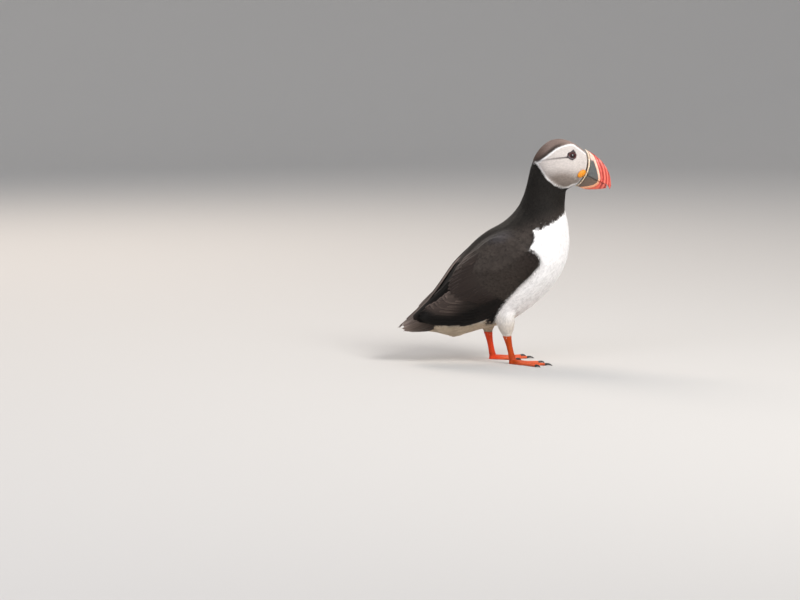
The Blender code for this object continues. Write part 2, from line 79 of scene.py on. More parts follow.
# The bird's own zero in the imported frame: midway between the eyes, and BILL_TIP_X behind the bill's tip.
ZERO = np.array(
    [
        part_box("bill_upper")[1].x / MM - BILL_TIP_X,
        sum(corner.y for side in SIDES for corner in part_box(f"eye_{side}")) / 4 / MM,
        0.0,
    ]
)

# The back and the belly from tail to nape as (x, z). Matching points face each other, and feathers lie
# along both.
BACK = (
    (-106.5, 36.5), (-93.5, 47.5), (-79, 61.5), (-64.5, 80.5), (-48.5, 104), (-32.5, 123.5), (-18.5, 134.8),
    (-6, 142), (3.8, 149.3), (11.4, 157.8), (17.6, 168.4), (21.4, 180.4), (24, 192), (26.6, 204),
)
BELLY = (
    (-104.5, 31.5), (-92, 31), (-73, 29.5), (-51, 25.5), (-25, 32), (2.5, 39.3), (26.8, 54.6),
    (48.2, 75.2), (62, 97.6), (67, 120.6), (65.2, 141.4), (61.8, 157), (62.2, 168.6), (63.5, 179),
)
HEAD_LIE = (-0.94, 0, -0.34)  # feathers on the head point back and a little down
WING_LIE = (-0.84, 0, -0.54)
WING_EDGE_LIE = (-0.6, 0.0, -0.8)  # down the wing's front edge
THIGH_LIE = (0.1, 0, -1)
COLLAR = ((26, 203), (66, 177))  # the head's feathers lie above this line and the body's below it

# Outlines of the markings and of painted shade in the side profile, which is seen from PROFILE_TILT degrees
# above.
PROFILE_TILT = 6
FACE = (
    (29, 202.3), (34, 203), (41.3, 208.1), (50.4, 215.5), (57.6, 218.8), (64.7, 220.7), (69.3, 220.9),
    (73.8, 217.4), (79.4, 213), (84, 210), (90, 200), (80, 182), (72.5, 179.6), (67.4, 178), (63.4, 175.6),
    (56.9, 175), (49.1, 177.7), (41.3, 183.6), (34.8, 194),
)
WHITE_FRONT = (
    (66, 170), (62.2, 160), (58.5, 150.5), (52.6, 145), (43.9, 139.2), (29.8, 135), (29.4, 128),
    (28.3, 122.8), (24.3, 115.7), (14, 104), (12, 92), (10, 80), (4, 70), (-4, 60), (-11, 50), (-19, 43),
    (-31, 38.5), (-46, 36.5), (-74, 35.5), (-84, 33), (-84, 0), (100, 0), (100, 170),
)
UNDERTAIL = ((-14, 44), (-20, 20), (-90, 20), (-84, 33), (-74, 37), (-46, 38), (-31, 40))
# The crease behind the eye: its dark line is partly the feathers' own grey and partly painted shade in the
# groove.
CREASE = ((65, 206.9), (52, 205.6), (43, 204.6), (36, 203.2), (30, 202.2))
EYE_PATCH = (
    (68.3, 215.4), (70.6, 212), (71.2, 209), (70.3, 206), (68, 204.2), (66.6, 204.6), (63, 206.8),
    (63.3, 208), (65.2, 209), (66.2, 212),
)
FLANK = ((-2, 60), (-6.5, 52), (-9.5, 45), (-11, 40), (-12.5, 33.5), (-18, 36), (-20, 45), (-16, 56))
# Painted shade on the folded wing's lower part, which turns under and lies in shadow.
WING_SHADE = (
    (-84, 56), (-72, 49), (-55, 46.5), (-36, 53), (-6, 66), (6, 60), (-10, 30), (-92, 30), (-92, 46),
)
# Painted shadow in the gap between the near wing and the back, under the crossed quills.
RUMP_SHADE = (
    (-40, 104), (-44, 90), (-57, 74), (-66, 64), (-80, 55), (-88, 46), (-101, 41), (-101, 46), (-60, 88),
    (-46, 103),
)
# Where the wing's quills show, and no small feathers grow.
QUILLED = (
    (-38, 56), (-34, 34), (-46, 32), (-78, 30), (-93, 42), (-86, 50), (-74, 58.5), (-60, 69), (-60, 77),
    (-59, 87), (-50, 98), (-45, 95), (-45, 78), (-41, 64),
)
# Above this line the shoulder's long feathers cover the wing.
SCAPULARS = (
    (-60, 90), (-44.7, 98.4), (-36, 97), (-20, 95), (-2, 96), (10, 102.4), (15, 108.6), (24, 114), (26, 117),
    (40, 131),
)

# Oval patches: middle and radii.
# Painted shade on the lower face, which faces down, away from the light.
CHEEK_SHADE = ((58, 180.5), (33, 18))
# A painted sheen: bluish light reflected high on the back.
BLUE_SHEEN = ((-8, 131), (22, 14))
TUFT = ((-42, 30), (9, 5))  # where the undertail's feathers hang loose

# Heights and places that bound the markings and the tracts.
HEAD_FLOOR, HEAD_BACK = 172, 25  # no marking of the head stands lower or further back, but for the nape
NAPE_HEIGHT = 200  # all above it is head
CROWN_FLOOR = 190
COLLAR_SLOPE, COLLAR_BACK = 0.45, 130  # the collar's black begins above z = COLLAR_SLOPE * x + COLLAR_BACK


def linear(code):
    """An sRGB hex colour as linear red, green and blue."""
    shares = [int(code[i : i + 2], 16) / 255 for i in (1, 3, 5)]
    return tuple(c / 12.92 if c <= 0.04045 else ((c + 0.055) / 1.055) ** 2.4 for c in shares)


def colour_property(name, code, use):
    return FloatVectorProperty(
        name=name, description=use, default=linear(code), subtype="COLOR", size=3, min=0, max=1
    )


def size_property(name, value, use):
    return FloatProperty(name=name, description=use + ", in millimetres", default=value, min=0)


class PuffinColours(bpy.types.PropertyGroup):
    """Colours of the feathers and the bare parts, and of the shade and sheen painted on them."""

    black: colour_property("Collar black", "#1c1916", "Neck and collar")
    mantle: colour_property("Mantle", "#332d29", "Back and shoulders")
    # Painted sheen, the bluish reflection high on the back.
    sheen: colour_property("Back sheen", "#3d3d45", "Bluish patch high on the back")
    wing: colour_property("Wing", "#2b2521", "Wing coverts")
    quill: colour_property("Quill", "#1c1411", "Fresh flight feathers")
    worn: colour_property("Worn quills", "#5c5049", "Old primaries and tail tips")
    fringe: colour_property("Quill fringe", "#b09c92", "Pale edges of the old quills")
    crown: colour_property("Crown", "#84726a", "Cap of the head")
    nape: colour_property("Nape", "#57443a", "Back of the cap")
    forehead: colour_property("Forehead", "#9a857b", "Front of the cap, above the bill")
    crown_edge: colour_property("Crown edge", "#463b36", "Darker rim of the cap along the face")
    white: colour_property("White", "#f8f6f5", "Breast and belly")
    face: colour_property("Face", "#d3cac4", "Face disc")
    # Painted shade low on the face; on the chin it also stands for the chin's own grey.
    cheek: colour_property("Cheek shade", "#94887f", "Grey of the lower cheek")
    # Partly the crease's own grey, partly painted shade in its groove.
    crease: colour_property("Crease", "#4d4240", "Line behind the eye")
    eyelid: colour_property("Bare eyelid", "#33201f", "Bare skin round the eye")
    # The undertail's own pale cream, deepened by painted shade; it also paints the shade on the thighs and
    # low belly.
    beige_and_shade: colour_property("Undertail", "#bfae97", "Undertail coverts")
    # The dark flanks' own colour, and also the painted shade on the wing's lower part and in the gap over the
    # rump.
    flank_and_shade: colour_property("Dark underside", "#0e0b09", "Flank, lower edge of the wing, and rump")


class PuffinCoat(bpy.types.PropertyGroup):
    """Depth of the coat over the skin and the spacing of its feathers."""

    head_depth: size_property("Head depth", 0.55, "Depth of the coat on the head")
    neck_depth: size_property("Neck depth", 0.9, "Depth of the coat on the neck")
    body_depth: size_property("Body depth", 1.2, "Depth of the coat on the body")
    wing_depth: size_property("Wing depth", 0.8, "Depth of the coat on the wings")
    tail_depth: size_property("Tail depth", 1.2, "Depth of the coat on the tail")
    spacing: FloatProperty(name="Spacing", description="Multiplies every feather spacing", default=1, min=0.5)
    seed: IntProperty(name="Seed", description="Seed of the feathers' places and turns", default=7)


class PuffinStage(bpy.types.PropertyGroup):
    """Camera."""

    lens: FloatProperty(name="Lens", description="Focal length, in millimetres", default=132.4)
    distance: FloatProperty(name="Distance", description="Camera to bird", default=3.0, unit="LENGTH")
    elevation: FloatProperty(
        name="Elevation",
        description="Angle that the camera looks down at",
        default=math.radians(PROFILE_TILT),
        subtype="ANGLE",
    )


# Arrays, meshes and objects


def settings():
    """The scene's colours, coat and stage."""
    return bpy.context.scene.puffin_colours, bpy.context.scene.puffin_coat, bpy.context.scene.puffin_stage


def points_of(mesh):
    """A mesh's vertices in millimetres in the bird's own axes."""
    found = np.empty(len(mesh.vertices) * 3, np.float32)
    mesh.vertices.foreach_get("co", found)
    return found.reshape(-1, 3).astype(float) / MM - ZERO


def place_points(mesh, points):
    mesh.vertices.foreach_set("co", ((points + ZERO) * MM).astype(np.float32).ravel())
    mesh.update()


def normals_of(mesh):
    found = np.empty(len(mesh.vertices) * 3, np.float32)
    mesh.vertex_normals.foreach_get("vector", found)
    return found.reshape(-1, 3).astype(float)


def unit(vectors):
    return vectors / np.maximum(np.linalg.norm(vectors, axis=-1, keepdims=True), 1e-9)


def eased(value):
    """0 to 1 smoothly as the value goes from 0 to 1."""
    t = np.clip(value, 0, 1)
    return t * t * (3 - 2 * t)


def mixed(base, colour, amount):
    return base + (np.asarray(colour) - base) * np.clip(amount, 0, 1)[:, None]


ATTRIBUTE_FIELD = {"FLOAT": "value", "FLOAT_VECTOR": "vector", "FLOAT_COLOR": "color", "FLOAT2": "vector"}


def store(mesh, name, kind, values):
    """A named value on each vertex."""
    layer = mesh.attributes.get(name) or mesh.attributes.new(name, kind, "POINT")
    layer.data.foreach_set(ATTRIBUTE_FIELD[kind], np.asarray(values, np.float32).ravel())


def stored(mesh, name, width):
    layer = mesh.attributes[name]
    found = np.empty(len(layer.data) * width, np.float32)
    layer.data.foreach_get(ATTRIBUTE_FIELD[layer.data_type], found)
    return found.reshape(-1, width)


def store_tint(mesh, name, colours):
    store(mesh, name, "FLOAT_COLOR", np.column_stack([colours, np.ones(len(colours))]))


def spread(mesh, values, rounds):
    """Values on the vertices, averaged with their neighbours' so many times."""
    ends = np.empty(len(mesh.edges) * 2, np.int32)
    mesh.edges.foreach_get("vertices", ends)
    a, b = ends[0::2], ends[1::2]
    count = np.bincount(ends, minlength=len(mesh.vertices)) + 1.0
    table = np.asarray(values, float).reshape(len(values), -1).copy()
    for _ in range(rounds):
        for k in range(table.shape[1]):
            column = table[:, k]
            total = np.bincount(a, column[b], len(column)) + np.bincount(b, column[a], len(column))
            table[:, k] = (column + total) / count
    return table.reshape(np.shape(values))


def add_object(name, mesh):
    mesh.name = name
    obj = bpy.data.objects.new(name, mesh)
    bpy.context.scene.collection.objects.link(obj)
    mesh.shade_smooth()
    return obj


def finish(obj, slot, *nodes):
    """Rides the piece on the bird's one body and hides the CAD nodes it stands for; slot is not used."""
    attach(obj, "root")
    if nodes:
        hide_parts(*nodes)


def applied(obj):
    """The object's mesh with its modifiers applied and removed."""
    graph = bpy.context.evaluated_depsgraph_get()
    evaluated = obj.evaluated_get(graph)
    mesh = bpy.data.meshes.new_from_object(evaluated, preserve_all_data_layers=True, depsgraph=graph)
    obj.modifiers.clear()
    old, obj.data = obj.data, mesh
    bpy.data.meshes.remove(old)
    return obj


def merged_copy(nodes, swell):
    """A bmesh of CAD nodes with their loose triangles joined and their surfaces moved out by swell."""
    whole = bmesh.new()
    for node in nodes:
        part = bmesh.new()
        part.from_mesh(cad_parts[node].data)
        bmesh.ops.remove_doubles(part, verts=part.verts, dist=1e-6)
        part.normal_update()
        moved = [vert.co + vert.normal * swell * MM for vert in part.verts]
        for vert, place in zip(part.verts, moved):
            vert.co = place
        mesh = bpy.data.meshes.new(node)
        part.to_mesh(mesh)
        part.free()
        whole.from_mesh(mesh)
        bpy.data.meshes.remove(mesh)
    return whole


def fine_copy(name, nodes, swell, voxel, rounds):
    """A closed, even mesh over CAD nodes, in cells of about voxel millimetres and smoothed so many times."""
    whole = merged_copy(nodes, swell)
    mesh = bpy.data.meshes.new(name)
    whole.to_mesh(mesh)
    whole.free()
    obj = add_object(name, mesh)
    remesh = obj.modifiers.new("even", "REMESH")
    remesh.mode = "VOXEL"
    remesh.voxel_size = voxel * MM
    remesh.use_smooth_shade = True
    smooth = obj.modifiers.new("soft", "SMOOTH")
    smooth.factor = 0.5
    smooth.iterations = rounds
    return applied(obj)


def of_parts(parts, nodes):
    """1 where a point's nearest body node is one of these, 0 elsewhere."""
    return np.isin(parts, [BODY_NODES.index(node) for node in nodes]).astype(float)


def form_of(nodes):
    """A lookup tree over CAD nodes in the bird's own millimetres, and the node of each of its triangles."""
    corners, faces, owners = [], [], []
    for index, node in enumerate(nodes):
        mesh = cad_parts[node].data
        start = sum(len(c) for c in corners)
        corners.append(points_of(mesh))
        faces += [tuple(start + v for v in polygon.vertices) for polygon in mesh.polygons]
        owners += [index] * len(mesh.polygons)
    return BVHTree.FromPolygons(np.concatenate(corners).tolist(), faces), np.array(owners)


# Markings with painted shade and sheen, in the side profile


def profile(points):
    """Points as (x, height) seen square from their own side and PROFILE_TILT degrees above."""
    tilt = math.radians(PROFILE_TILT)
    height = points[:, 2] * math.cos(tilt) - np.abs(points[:, 1]) * math.sin(tilt)
    return np.column_stack([points[:, 0], height])


def line_distance(places, line):
    """Distance from (x, z) places to a line, and how far along it each one's nearest point is, 0 to 1."""
    nodes = np.array(line, float)
    best, along = np.full(len(places), 1e9), np.zeros(len(places))
    lengths = np.linalg.norm(np.diff(nodes, axis=0), axis=1)
    starts = np.concatenate([[0], np.cumsum(lengths)])
    for k, (a, b) in enumerate(zip(nodes, nodes[1:])):
        share = np.clip(((places - a) @ (b - a)) / max(lengths[k] ** 2, 1e-9), 0, 1)
        gap = np.linalg.norm(places - a - share[:, None] * (b - a), axis=1)
        nearer = gap < best
        best = np.where(nearer, gap, best)
        along = np.where(nearer, (starts[k] + share * lengths[k]) / starts[-1], along)
    return best, along


def inside(places, outline):
    """Distance in millimetres from (x, z) places to an outline, positive inside it."""
    corners = np.array(outline, float)
    odd = np.zeros(len(places), bool)
    for a, b in zip(corners, np.roll(corners, -1, axis=0)):
        crosses = (a[1] > places[:, 1]) != (b[1] > places[:, 1])
        rise = b[1] - a[1] if abs(b[1] - a[1]) > 1e-9 else 1e-9
        odd ^= crosses & (places[:, 0] < a[0] + (b[0] - a[0]) * (places[:, 1] - a[1]) / rise)
    gap, _ = line_distance(places, list(outline) + [outline[0]])
    return np.where(odd, gap, -gap)


def within(places, patch):
    """1 in the middle of an oval patch, 0 at its rim and beyond."""
    middle, radii = patch
    reach = np.linalg.norm((places - np.array(middle)) / np.array(radii), axis=1)
    return eased(1 - reach)


def soft_edge(distance, width):
    return eased(0.5 + distance / width)


def over_wing(places):
    """How far (x, z) places lie above the line of the scapulars' tips."""
    xs, zs = np.array(SCAPULARS).T
    return places[:, 1] - np.interp(places[:, 0], xs, zs)


def ripple(points, size):
    """A smooth, repeatable unevenness between -1 and 1 with humps of about this size."""
    p = points / size
    return (
        np.sin(p[:, 0] * 1.7 + 2.1 * np.sin(p[:, 2] * 0.9))
        + np.sin(p[:, 2] * 2.3 + 1.3 * np.sin(p[:, 1] * 1.9))
        + np.sin(p[:, 1] * 1.5 + p[:, 0] * 1.1)
    ) / 3


def markings_and_shade(points, on_wing):
    """Plumage colour at points, with painted shade and sheen; on_wing is 1 on the wings and 0 elsewhere."""
    c, _, _ = settings()
    at = profile(points)
    rough = ripple(points, 3.0)
    head = (at[:, 1] > NAPE_HEIGHT) | ((at[:, 1] > HEAD_FLOOR) & (at[:, 0] > HEAD_BACK))
    white = soft_edge(inside(at, WHITE_FRONT) + 0.5 * rough, 0.9) * (1 - on_wing)
    colour = dark_markings_and_sheen(points, at, on_wing, c)
    colour = mixed(colour, c.white, white)
    colour = under_markings_and_shade(colour, points, at, white, c)
    # Painted shade on the wing's lower part.
    colour = mixed(colour, c.flank_and_shade, soft_edge(inside(at, WING_SHADE), 6) * on_wing)
    # Painted shadow in the gap over the rump.
    colour = mixed(colour, c.flank_and_shade, soft_edge(inside(at, RUMP_SHADE), 3) * (1 - white))
    return head_markings_and_shade(colour, points, at, inside(at, FACE) + 0.15 * rough, head, c)


def dark_markings_and_sheen(points, at, on_wing, c):
    """Mantle, painted bluish sheen, collar and wing, in streaks that run down the back."""
    x, z = at[:, 0], at[:, 1]
    bare_wing = on_wing * soft_edge(-over_wing(at), 8)
    along_back = np.column_stack([(x - z) / 1.4, points[:, 1] * 2, (x + z) / 4])
    streak = 1 + 0.2 * ripple(along_back, 3.6) + 0.1 * ripple(points, 6)
    colour = np.tile(np.array(c.mantle), (len(points), 1)) * streak[:, None]
    # Painted sheen high on the back.
    colour = mixed(colour, c.sheen, within(at, BLUE_SHEEN) * 0.65)
    colour = mixed(colour, c.black, soft_edge(z - COLLAR_SLOPE * x - COLLAR_BACK, 16))
    colour = mixed(colour, c.wing, bare_wing)
    near_quills = eased(1 + inside(at, QUILLED) / 24) * 0.9
    near_breast = eased((x - 6) / 22) * 0.5
    return mixed(colour, c.quill, bare_wing * np.maximum(near_quills, near_breast))


def under_markings_and_shade(colour, points, at, white, c):
    """The undertail's cream over the white, painted shade there and on thighs and low belly, and the dark
    flanks behind the thighs.
    """
    x, z = at[:, 0], at[:, 1]
    from_middle = np.abs(points[:, 1])
    # Painted shade on the thighs' inner sides, towards the middle of the bird.
    inner_thigh_shade = soft_edge(46 - z, 5) * soft_edge(19 - from_middle, 5)
    # Darker towards the bottom of belly and thighs: their own grey smudges and painted shade.
    low_grey_and_shade = eased((56 - z) / 24) * (x > -20)
    colour = mixed(colour, c.beige_and_shade, white * soft_edge(inside(at, UNDERTAIL), 7))
    colour = mixed(colour, c.beige_and_shade, white * (inner_thigh_shade * 0.65 + low_grey_and_shade * 0.62))
    return mixed(colour, c.flank_and_shade, soft_edge(inside(at, FLANK), 2.5) * eased((from_middle - 9) / 8))


def head_markings_and_shade(colour, points, at, face, head, c):
    """Cap, face disc, crease, eyelid and chin, with painted shade on disc, crease and chin; face is how far
    inside the disc's outline each point lies.
    """
    x, z = at[:, 0], at[:, 1]
    crown = head & (z - 202 > -1.2 * (x - 29) * (x < 34)) & (z > CROWN_FLOOR)
    cap = mixed(np.tile(np.array(c.crown), (len(points), 1)), c.nape, eased((46 - x) / 16))
    cap = mixed(cap, c.forehead, eased((x - 50) / 20))
    cap = mixed(cap, c.crown_edge, soft_edge(3.2 + face, 3) * eased((64 - x) / 14))
    colour = np.where(crown[:, None], cap, colour)
    disc = soft_edge(face, 0.8) * head
    # Painted shade, darkest low on the face near the chin.
    cheek = np.minimum(within(at, CHEEK_SHADE) * 1.5, 1)
    shade = mixed(np.tile(np.array(c.face), (len(points), 1)), c.cheek, cheek)
    shade = mixed(shade, c.white, soft_edge(1.7 - face, 1.0) * 0.8)
    colour = colour + (shade - colour) * disc[:, None]
    crease, along = line_distance(at, CREASE)
    # The crease's dark line: its own grey and painted shade in the groove.
    colour = mixed(colour, c.crease, soft_edge(0.75 - crease, 0.8) * disc * (1 - 0.75 * along))
    colour = mixed(colour, c.eyelid, soft_edge(inside(at, EYE_PATCH), 0.7) * head)
    # The chin's own grey, deepened by painted shade under the head.
    chin = eased((4.5 - np.abs(points[:, 1])) / 4) * eased((182.5 - z) / 3) * (x > 62) * head
    return mixed(colour, c.cheek, chin * disc * 0.9)


# Materials

# Sizes of the materials' patterns, in millimetres.
FOLLICLE_SIZE = 0.6
SCALE_SIZE = 0.8  # net scales on toes and webs are about 0.6 mm, drawn coarser so that they show
LEG_CLOUD_SIZE = 6
GROWTH_LINE_SIZE = 0.8
HORN_CLOUD_SIZE = 4
IRIS_FLECK_SIZE = 0.3
PORE_SIZE = 0.35


def add_node(tree, kind, links=None, **settings_):
    """A node with its settings; links gives a value or another node's socket for each of its inputs."""
    node = tree.nodes.new(kind)
    for key, value in settings_.items():
        setattr(node, key, value)
    for key, value in (links or {}).items():
        socket = node.inputs[key]
        if isinstance(value, bpy.types.NodeSocket):
            tree.links.new(value, socket)
        else:
            socket.default_value = value
    return node


def new_material(name, **values):
    """A material with one Principled surface whose own sockets take the given values."""
    material = bpy.data.materials.new(name)
    material.use_nodes = True
    tree = material.node_tree
    surface = tree.nodes["Principled BSDF"]
    for key, value in values.items():
        surface.inputs[key.replace("_", " ")].default_value = value
    return material, tree, surface


def colour_and_relief(tree, surface, tint, light, height=None, depth=0.0, strength=1.0):
    """Colours a surface with its stored tint times light, and raises height on it by depth millimetres."""
    colour = add_node(tree, "ShaderNodeAttribute", attribute_name=tint).outputs["Color"]
    final = add_node(tree, "ShaderNodeVectorMath", {0: colour, "Scale": light}, operation="SCALE")
    tree.links.new(final.outputs[0], surface.inputs["Base Color"])
    if height is not None:
        raised = {"Height": height, "Distance": depth * MM, "Strength": strength}
        relief = add_node(tree, "ShaderNodeBump", raised)
        tree.links.new(relief.outputs["Normal"], surface.inputs["Normal"])


def feather_material(name, barb_count, barb_depth, roughness, sheen, root_light, tip_light):
    """Keratin vanes: matt, with a soft sheen and slanting barbs.

    They are darker at the root, a painted shade where their neighbours cover them, and lighter at the tip.
    """
    material, tree, surface = new_material(
        name, Roughness=roughness, Sheen_Weight=sheen, Sheen_Roughness=0.45, IOR=1.54, Specular_IOR_Level=0.12
    )
    place = add_node(tree, "ShaderNodeAttribute", attribute_name="vane").outputs["Vector"]
    vane = add_node(tree, "ShaderNodeSeparateXYZ", {0: place})
    shade = add_node(tree, "ShaderNodeAttribute", attribute_name="shade").outputs["Fac"]
    across = add_node(tree, "ShaderNodeMath", {0: vane.outputs["X"]}, operation="ABSOLUTE").outputs[0]
    slanted = {0: across, 1: -0.35, 2: vane.outputs["Y"]}
    slant = add_node(tree, "ShaderNodeMath", slanted, operation="MULTIPLY_ADD").outputs[0]
    turns = {0: slant, 1: barb_count * 2 * math.pi}
    barbs = add_node(tree, "ShaderNodeMath", turns, operation="MULTIPLY").outputs[0]
    wave = add_node(tree, "ShaderNodeMath", {0: barbs}, operation="SINE").outputs[0]
    open_part = {"Value": vane.outputs["Y"], "From Min": 0.35, "From Max": 0.98}
    # root_light paints the shade at the covered root; tip_light is the tip's own paler colour.
    plain = add_node(tree, "ShaderNodeMapRange", {**open_part, "To Min": root_light, "To Max": tip_light})
    barred = {0: wave, 1: barb_depth, 2: plain.outputs[0]}
    light = add_node(tree, "ShaderNodeMath", barred, operation="MULTIPLY_ADD").outputs[0]
    light = add_node(tree, "ShaderNodeMath", {0: light, 1: shade}, operation="MULTIPLY").outputs[0]
    colour_and_relief(tree, surface, "vane_tint", light, wave, depth=barb_depth, strength=0.4)
    return material


def skin_material():
    """Feathered hide under the coat: matt, with fine follicles, in the coat's own colours and their painted
    shade and sheen.
    """
    material, tree, surface = new_material("feathered_hide", Roughness=0.85, Specular_IOR_Level=0.15)
    where = add_node(tree, "ShaderNodeTexCoord").outputs["Object"]
    follicles = {"Vector": where, "Scale": 1 / (FOLLICLE_SIZE * MM), "Detail": 3.0}
    grain = add_node(tree, "ShaderNodeTexNoise", follicles).outputs["Fac"]
    light = add_node(tree, "ShaderNodeMapRange", {"Value": grain, "To Min": 0.8, "To Max": 1.0}).outputs[0]
    colour_and_relief(tree, surface, "tint", light, grain, depth=0.15)
    return material


def leg_material():
    """Scaly webbed feet: waxy orange skin, paler on the scales and deeper between them."""
    material, tree, surface = new_material(
        "scaly_leg_skin", Roughness=0.42, IOR=1.45, Specular_IOR_Level=0.25, Subsurface_Weight=0.08,
        Subsurface_Radius=(0.004, 0.0015, 0.0006),
    )
    where = add_node(tree, "ShaderNodeTexCoord").outputs["Object"]
    net = {"Vector": where, "Scale": 1 / (SCALE_SIZE * MM)}
    cells = add_node(tree, "ShaderNodeTexVoronoi", net, feature="DISTANCE_TO_EDGE").outputs["Distance"]
    scales = {"Value": cells, "From Max": 0.22, "To Min": 0.72, "To Max": 1.0}
    edge = add_node(tree, "ShaderNodeMapRange", scales).outputs[0]
    clouds = {"Vector": where, "Scale": 1 / (LEG_CLOUD_SIZE * MM), "Detail": 3.0}
    cloud = add_node(tree, "ShaderNodeTexNoise", clouds).outputs["Fac"]
    patch = add_node(tree, "ShaderNodeMapRange", {"Value": cloud, "To Min": 0.82, "To Max": 1.12}).outputs[0]
    light = add_node(tree, "ShaderNodeMath", {0: edge, 1: patch}, operation="MULTIPLY").outputs[0]
    colour_and_relief(tree, surface, "tint", light, edge, depth=0.25)
    return material


def horn_material(name, roughness, streak):
    """Thin horn over bone: satin gloss, faint growth lines and scuffs, a little light let in."""
    material, tree, surface = new_material(
        name, Roughness=roughness, IOR=1.54, Coat_Weight=0.12, Coat_Roughness=0.25, Subsurface_Weight=0.06,
        Subsurface_Radius=(0.003, 0.001, 0.0006),
    )
    where = add_node(tree, "ShaderNodeTexCoord").outputs["Object"]
    upright = add_node(tree, "ShaderNodeMapping", {"Vector": where, "Scale": (1, 1, 0.25)}).outputs["Vector"]
    growth = {"Vector": upright, "Scale": 1 / (GROWTH_LINE_SIZE * MM), "Detail": 4}
    lines = add_node(tree, "ShaderNodeTexNoise", growth).outputs["Fac"]
    clouds = {"Vector": where, "Scale": 1 / (HORN_CLOUD_SIZE * MM), "Detail": 3.0}
    cloud = add_node(tree, "ShaderNodeTexNoise", clouds).outputs["Fac"]
    streaks = {"Value": lines, "From Min": 0.3, "From Max": 0.7}
    streaks.update({"To Min": 1 - streak, "To Max": 1 + streak * 0.5})
    light = add_node(tree, "ShaderNodeMapRange", streaks).outputs[0]
    mottles = {"Value": cloud, "From Min": 0.3, "From Max": 0.7, "To Min": 0.92, "To Max": 1.06}
    mottle = add_node(tree, "ShaderNodeMapRange", mottles).outputs[0]
    light = add_node(tree, "ShaderNodeMath", {0: light, 1: mottle}, operation="MULTIPLY").outputs[0]
    scuffs = {"Value": cloud, "To Min": roughness - 0.08, "To Max": roughness + 0.12}
    tree.links.new(add_node(tree, "ShaderNodeMapRange", scuffs).outputs[0], surface.inputs["Roughness"])
    colour_and_relief(tree, surface, "tint", light, lines, depth=0.06, strength=0.6)
    return material


def eye_material():
    """A wet cornea: dark iris under a clear, very smooth coat."""
    material, tree, surface = new_material(
        "wet_eye", Roughness=0.12, IOR=1.38, Coat_Weight=0.25, Coat_Roughness=0.05
    )
    where = add_node(tree, "ShaderNodeTexCoord").outputs["Object"]
    flecks = {"Vector": where, "Scale": 1 / (IRIS_FLECK_SIZE * MM), "Detail": 3.0}
    fleck = add_node(tree, "ShaderNodeTexNoise", flecks).outputs["Fac"]
    light = add_node(tree, "ShaderNodeMapRange", {"Value": fleck, "To Min": 0.7, "To Max": 1.25}).outputs[0]
    colour_and_relief(tree, surface, "tint", light)
    return material


def bare_skin_material(name, roughness):
    """Wrinkled bare skin: soft, slightly waxy, with fine pores."""
    material, tree, surface = new_material(
        name, Roughness=roughness, IOR=1.45, Subsurface_Weight=0.1, Subsurface_Radius=(0.003, 0.0012, 0.0005)
    )
    where = add_node(tree, "ShaderNodeTexCoord").outputs["Object"]
    fine = {"Vector": where, "Scale": 1 / (PORE_SIZE * MM), "Detail": 4}
    pores = add_node(tree, "ShaderNodeTexNoise", fine).outputs["Fac"]
    hollows = {"Value": pores, "From Min": 0.3, "From Max": 0.7, "To Min": 0.82, "To Max": 1.08}
    light = add_node(tree, "ShaderNodeMapRange", hollows).outputs[0]
    colour_and_relief(tree, surface, "tint", light, pores, depth=0.08)
    return material


# The skin

SKIN_SWELL = 1.4  # how far the flesh is swollen before its pieces are joined, which closes their gaps
SKIN_VOXEL = 1.08
LIE_STEPS, LIE_LINES = 120, 9  # how finely the lie is drawn along the body, and from back to belly
# Rounds of averaging: how wide the seams of wing and hip are taken, and how far their folds are smoothed.
SEAM_ROUNDS, HIP_ROUNDS, SMOOTH_ROUNDS = 30, 110, 420
HIP_FOLD_FLOOR = 36  # the fold of the hip is filled above this
WRIST_HEIGHT = 126  # feathers turn down along the wing's front edge below this
WRIST_TURN = ((92, 18), (0.9, 0, 0))  # where they turn forward again, over what height, and by how much

# Spacing and length of each tract's feathers, their width as a share of their length, how far their tips
# stand off the skin, how deep their tips are split, and how far their shading follows the skin's.
TRACTS = {
    "face": {"spacing": 0.88, "length": 2.7, "slim": 0.34, "lift": 0.25, "split": 0.9, "calm": 0.8},
    "neck": {"spacing": 1.2, "length": 5.0, "slim": 0.38, "lift": 0.5, "split": 0.75, "calm": 0.4},
    "belly": {"spacing": 1.35, "length": 7.0, "slim": 0.38, "lift": 0.32, "split": 0.85, "calm": 0.96},
    "thigh": {"spacing": 1.2, "length": 6.0, "slim": 0.34, "lift": 0.6, "split": 0.9, "calm": 0.92},
    "mantle": {"spacing": 1.9, "length": 9.5, "slim": 0.44, "lift": 0.65, "split": 0.5, "calm": 0.6},
    "wing": {"spacing": 1.6, "length": 8.0, "slim": 0.42, "lift": 0.45, "split": 0.5, "calm": 0.8},
    "undertail": {"spacing": 1.7, "length": 12.0, "slim": 0.32, "lift": 0.5, "split": 0.9, "calm": 0.75},
}
DARK_TRACTS = ("neck", "mantle", "wing")
SLOTS = {
    "face": "face_feathers", "neck": "black_feathers", "belly": "white_feathers", "thigh": "white_feathers",
    "mantle": "black_feathers", "wing": "black_feathers", "undertail": "white_feathers",
}


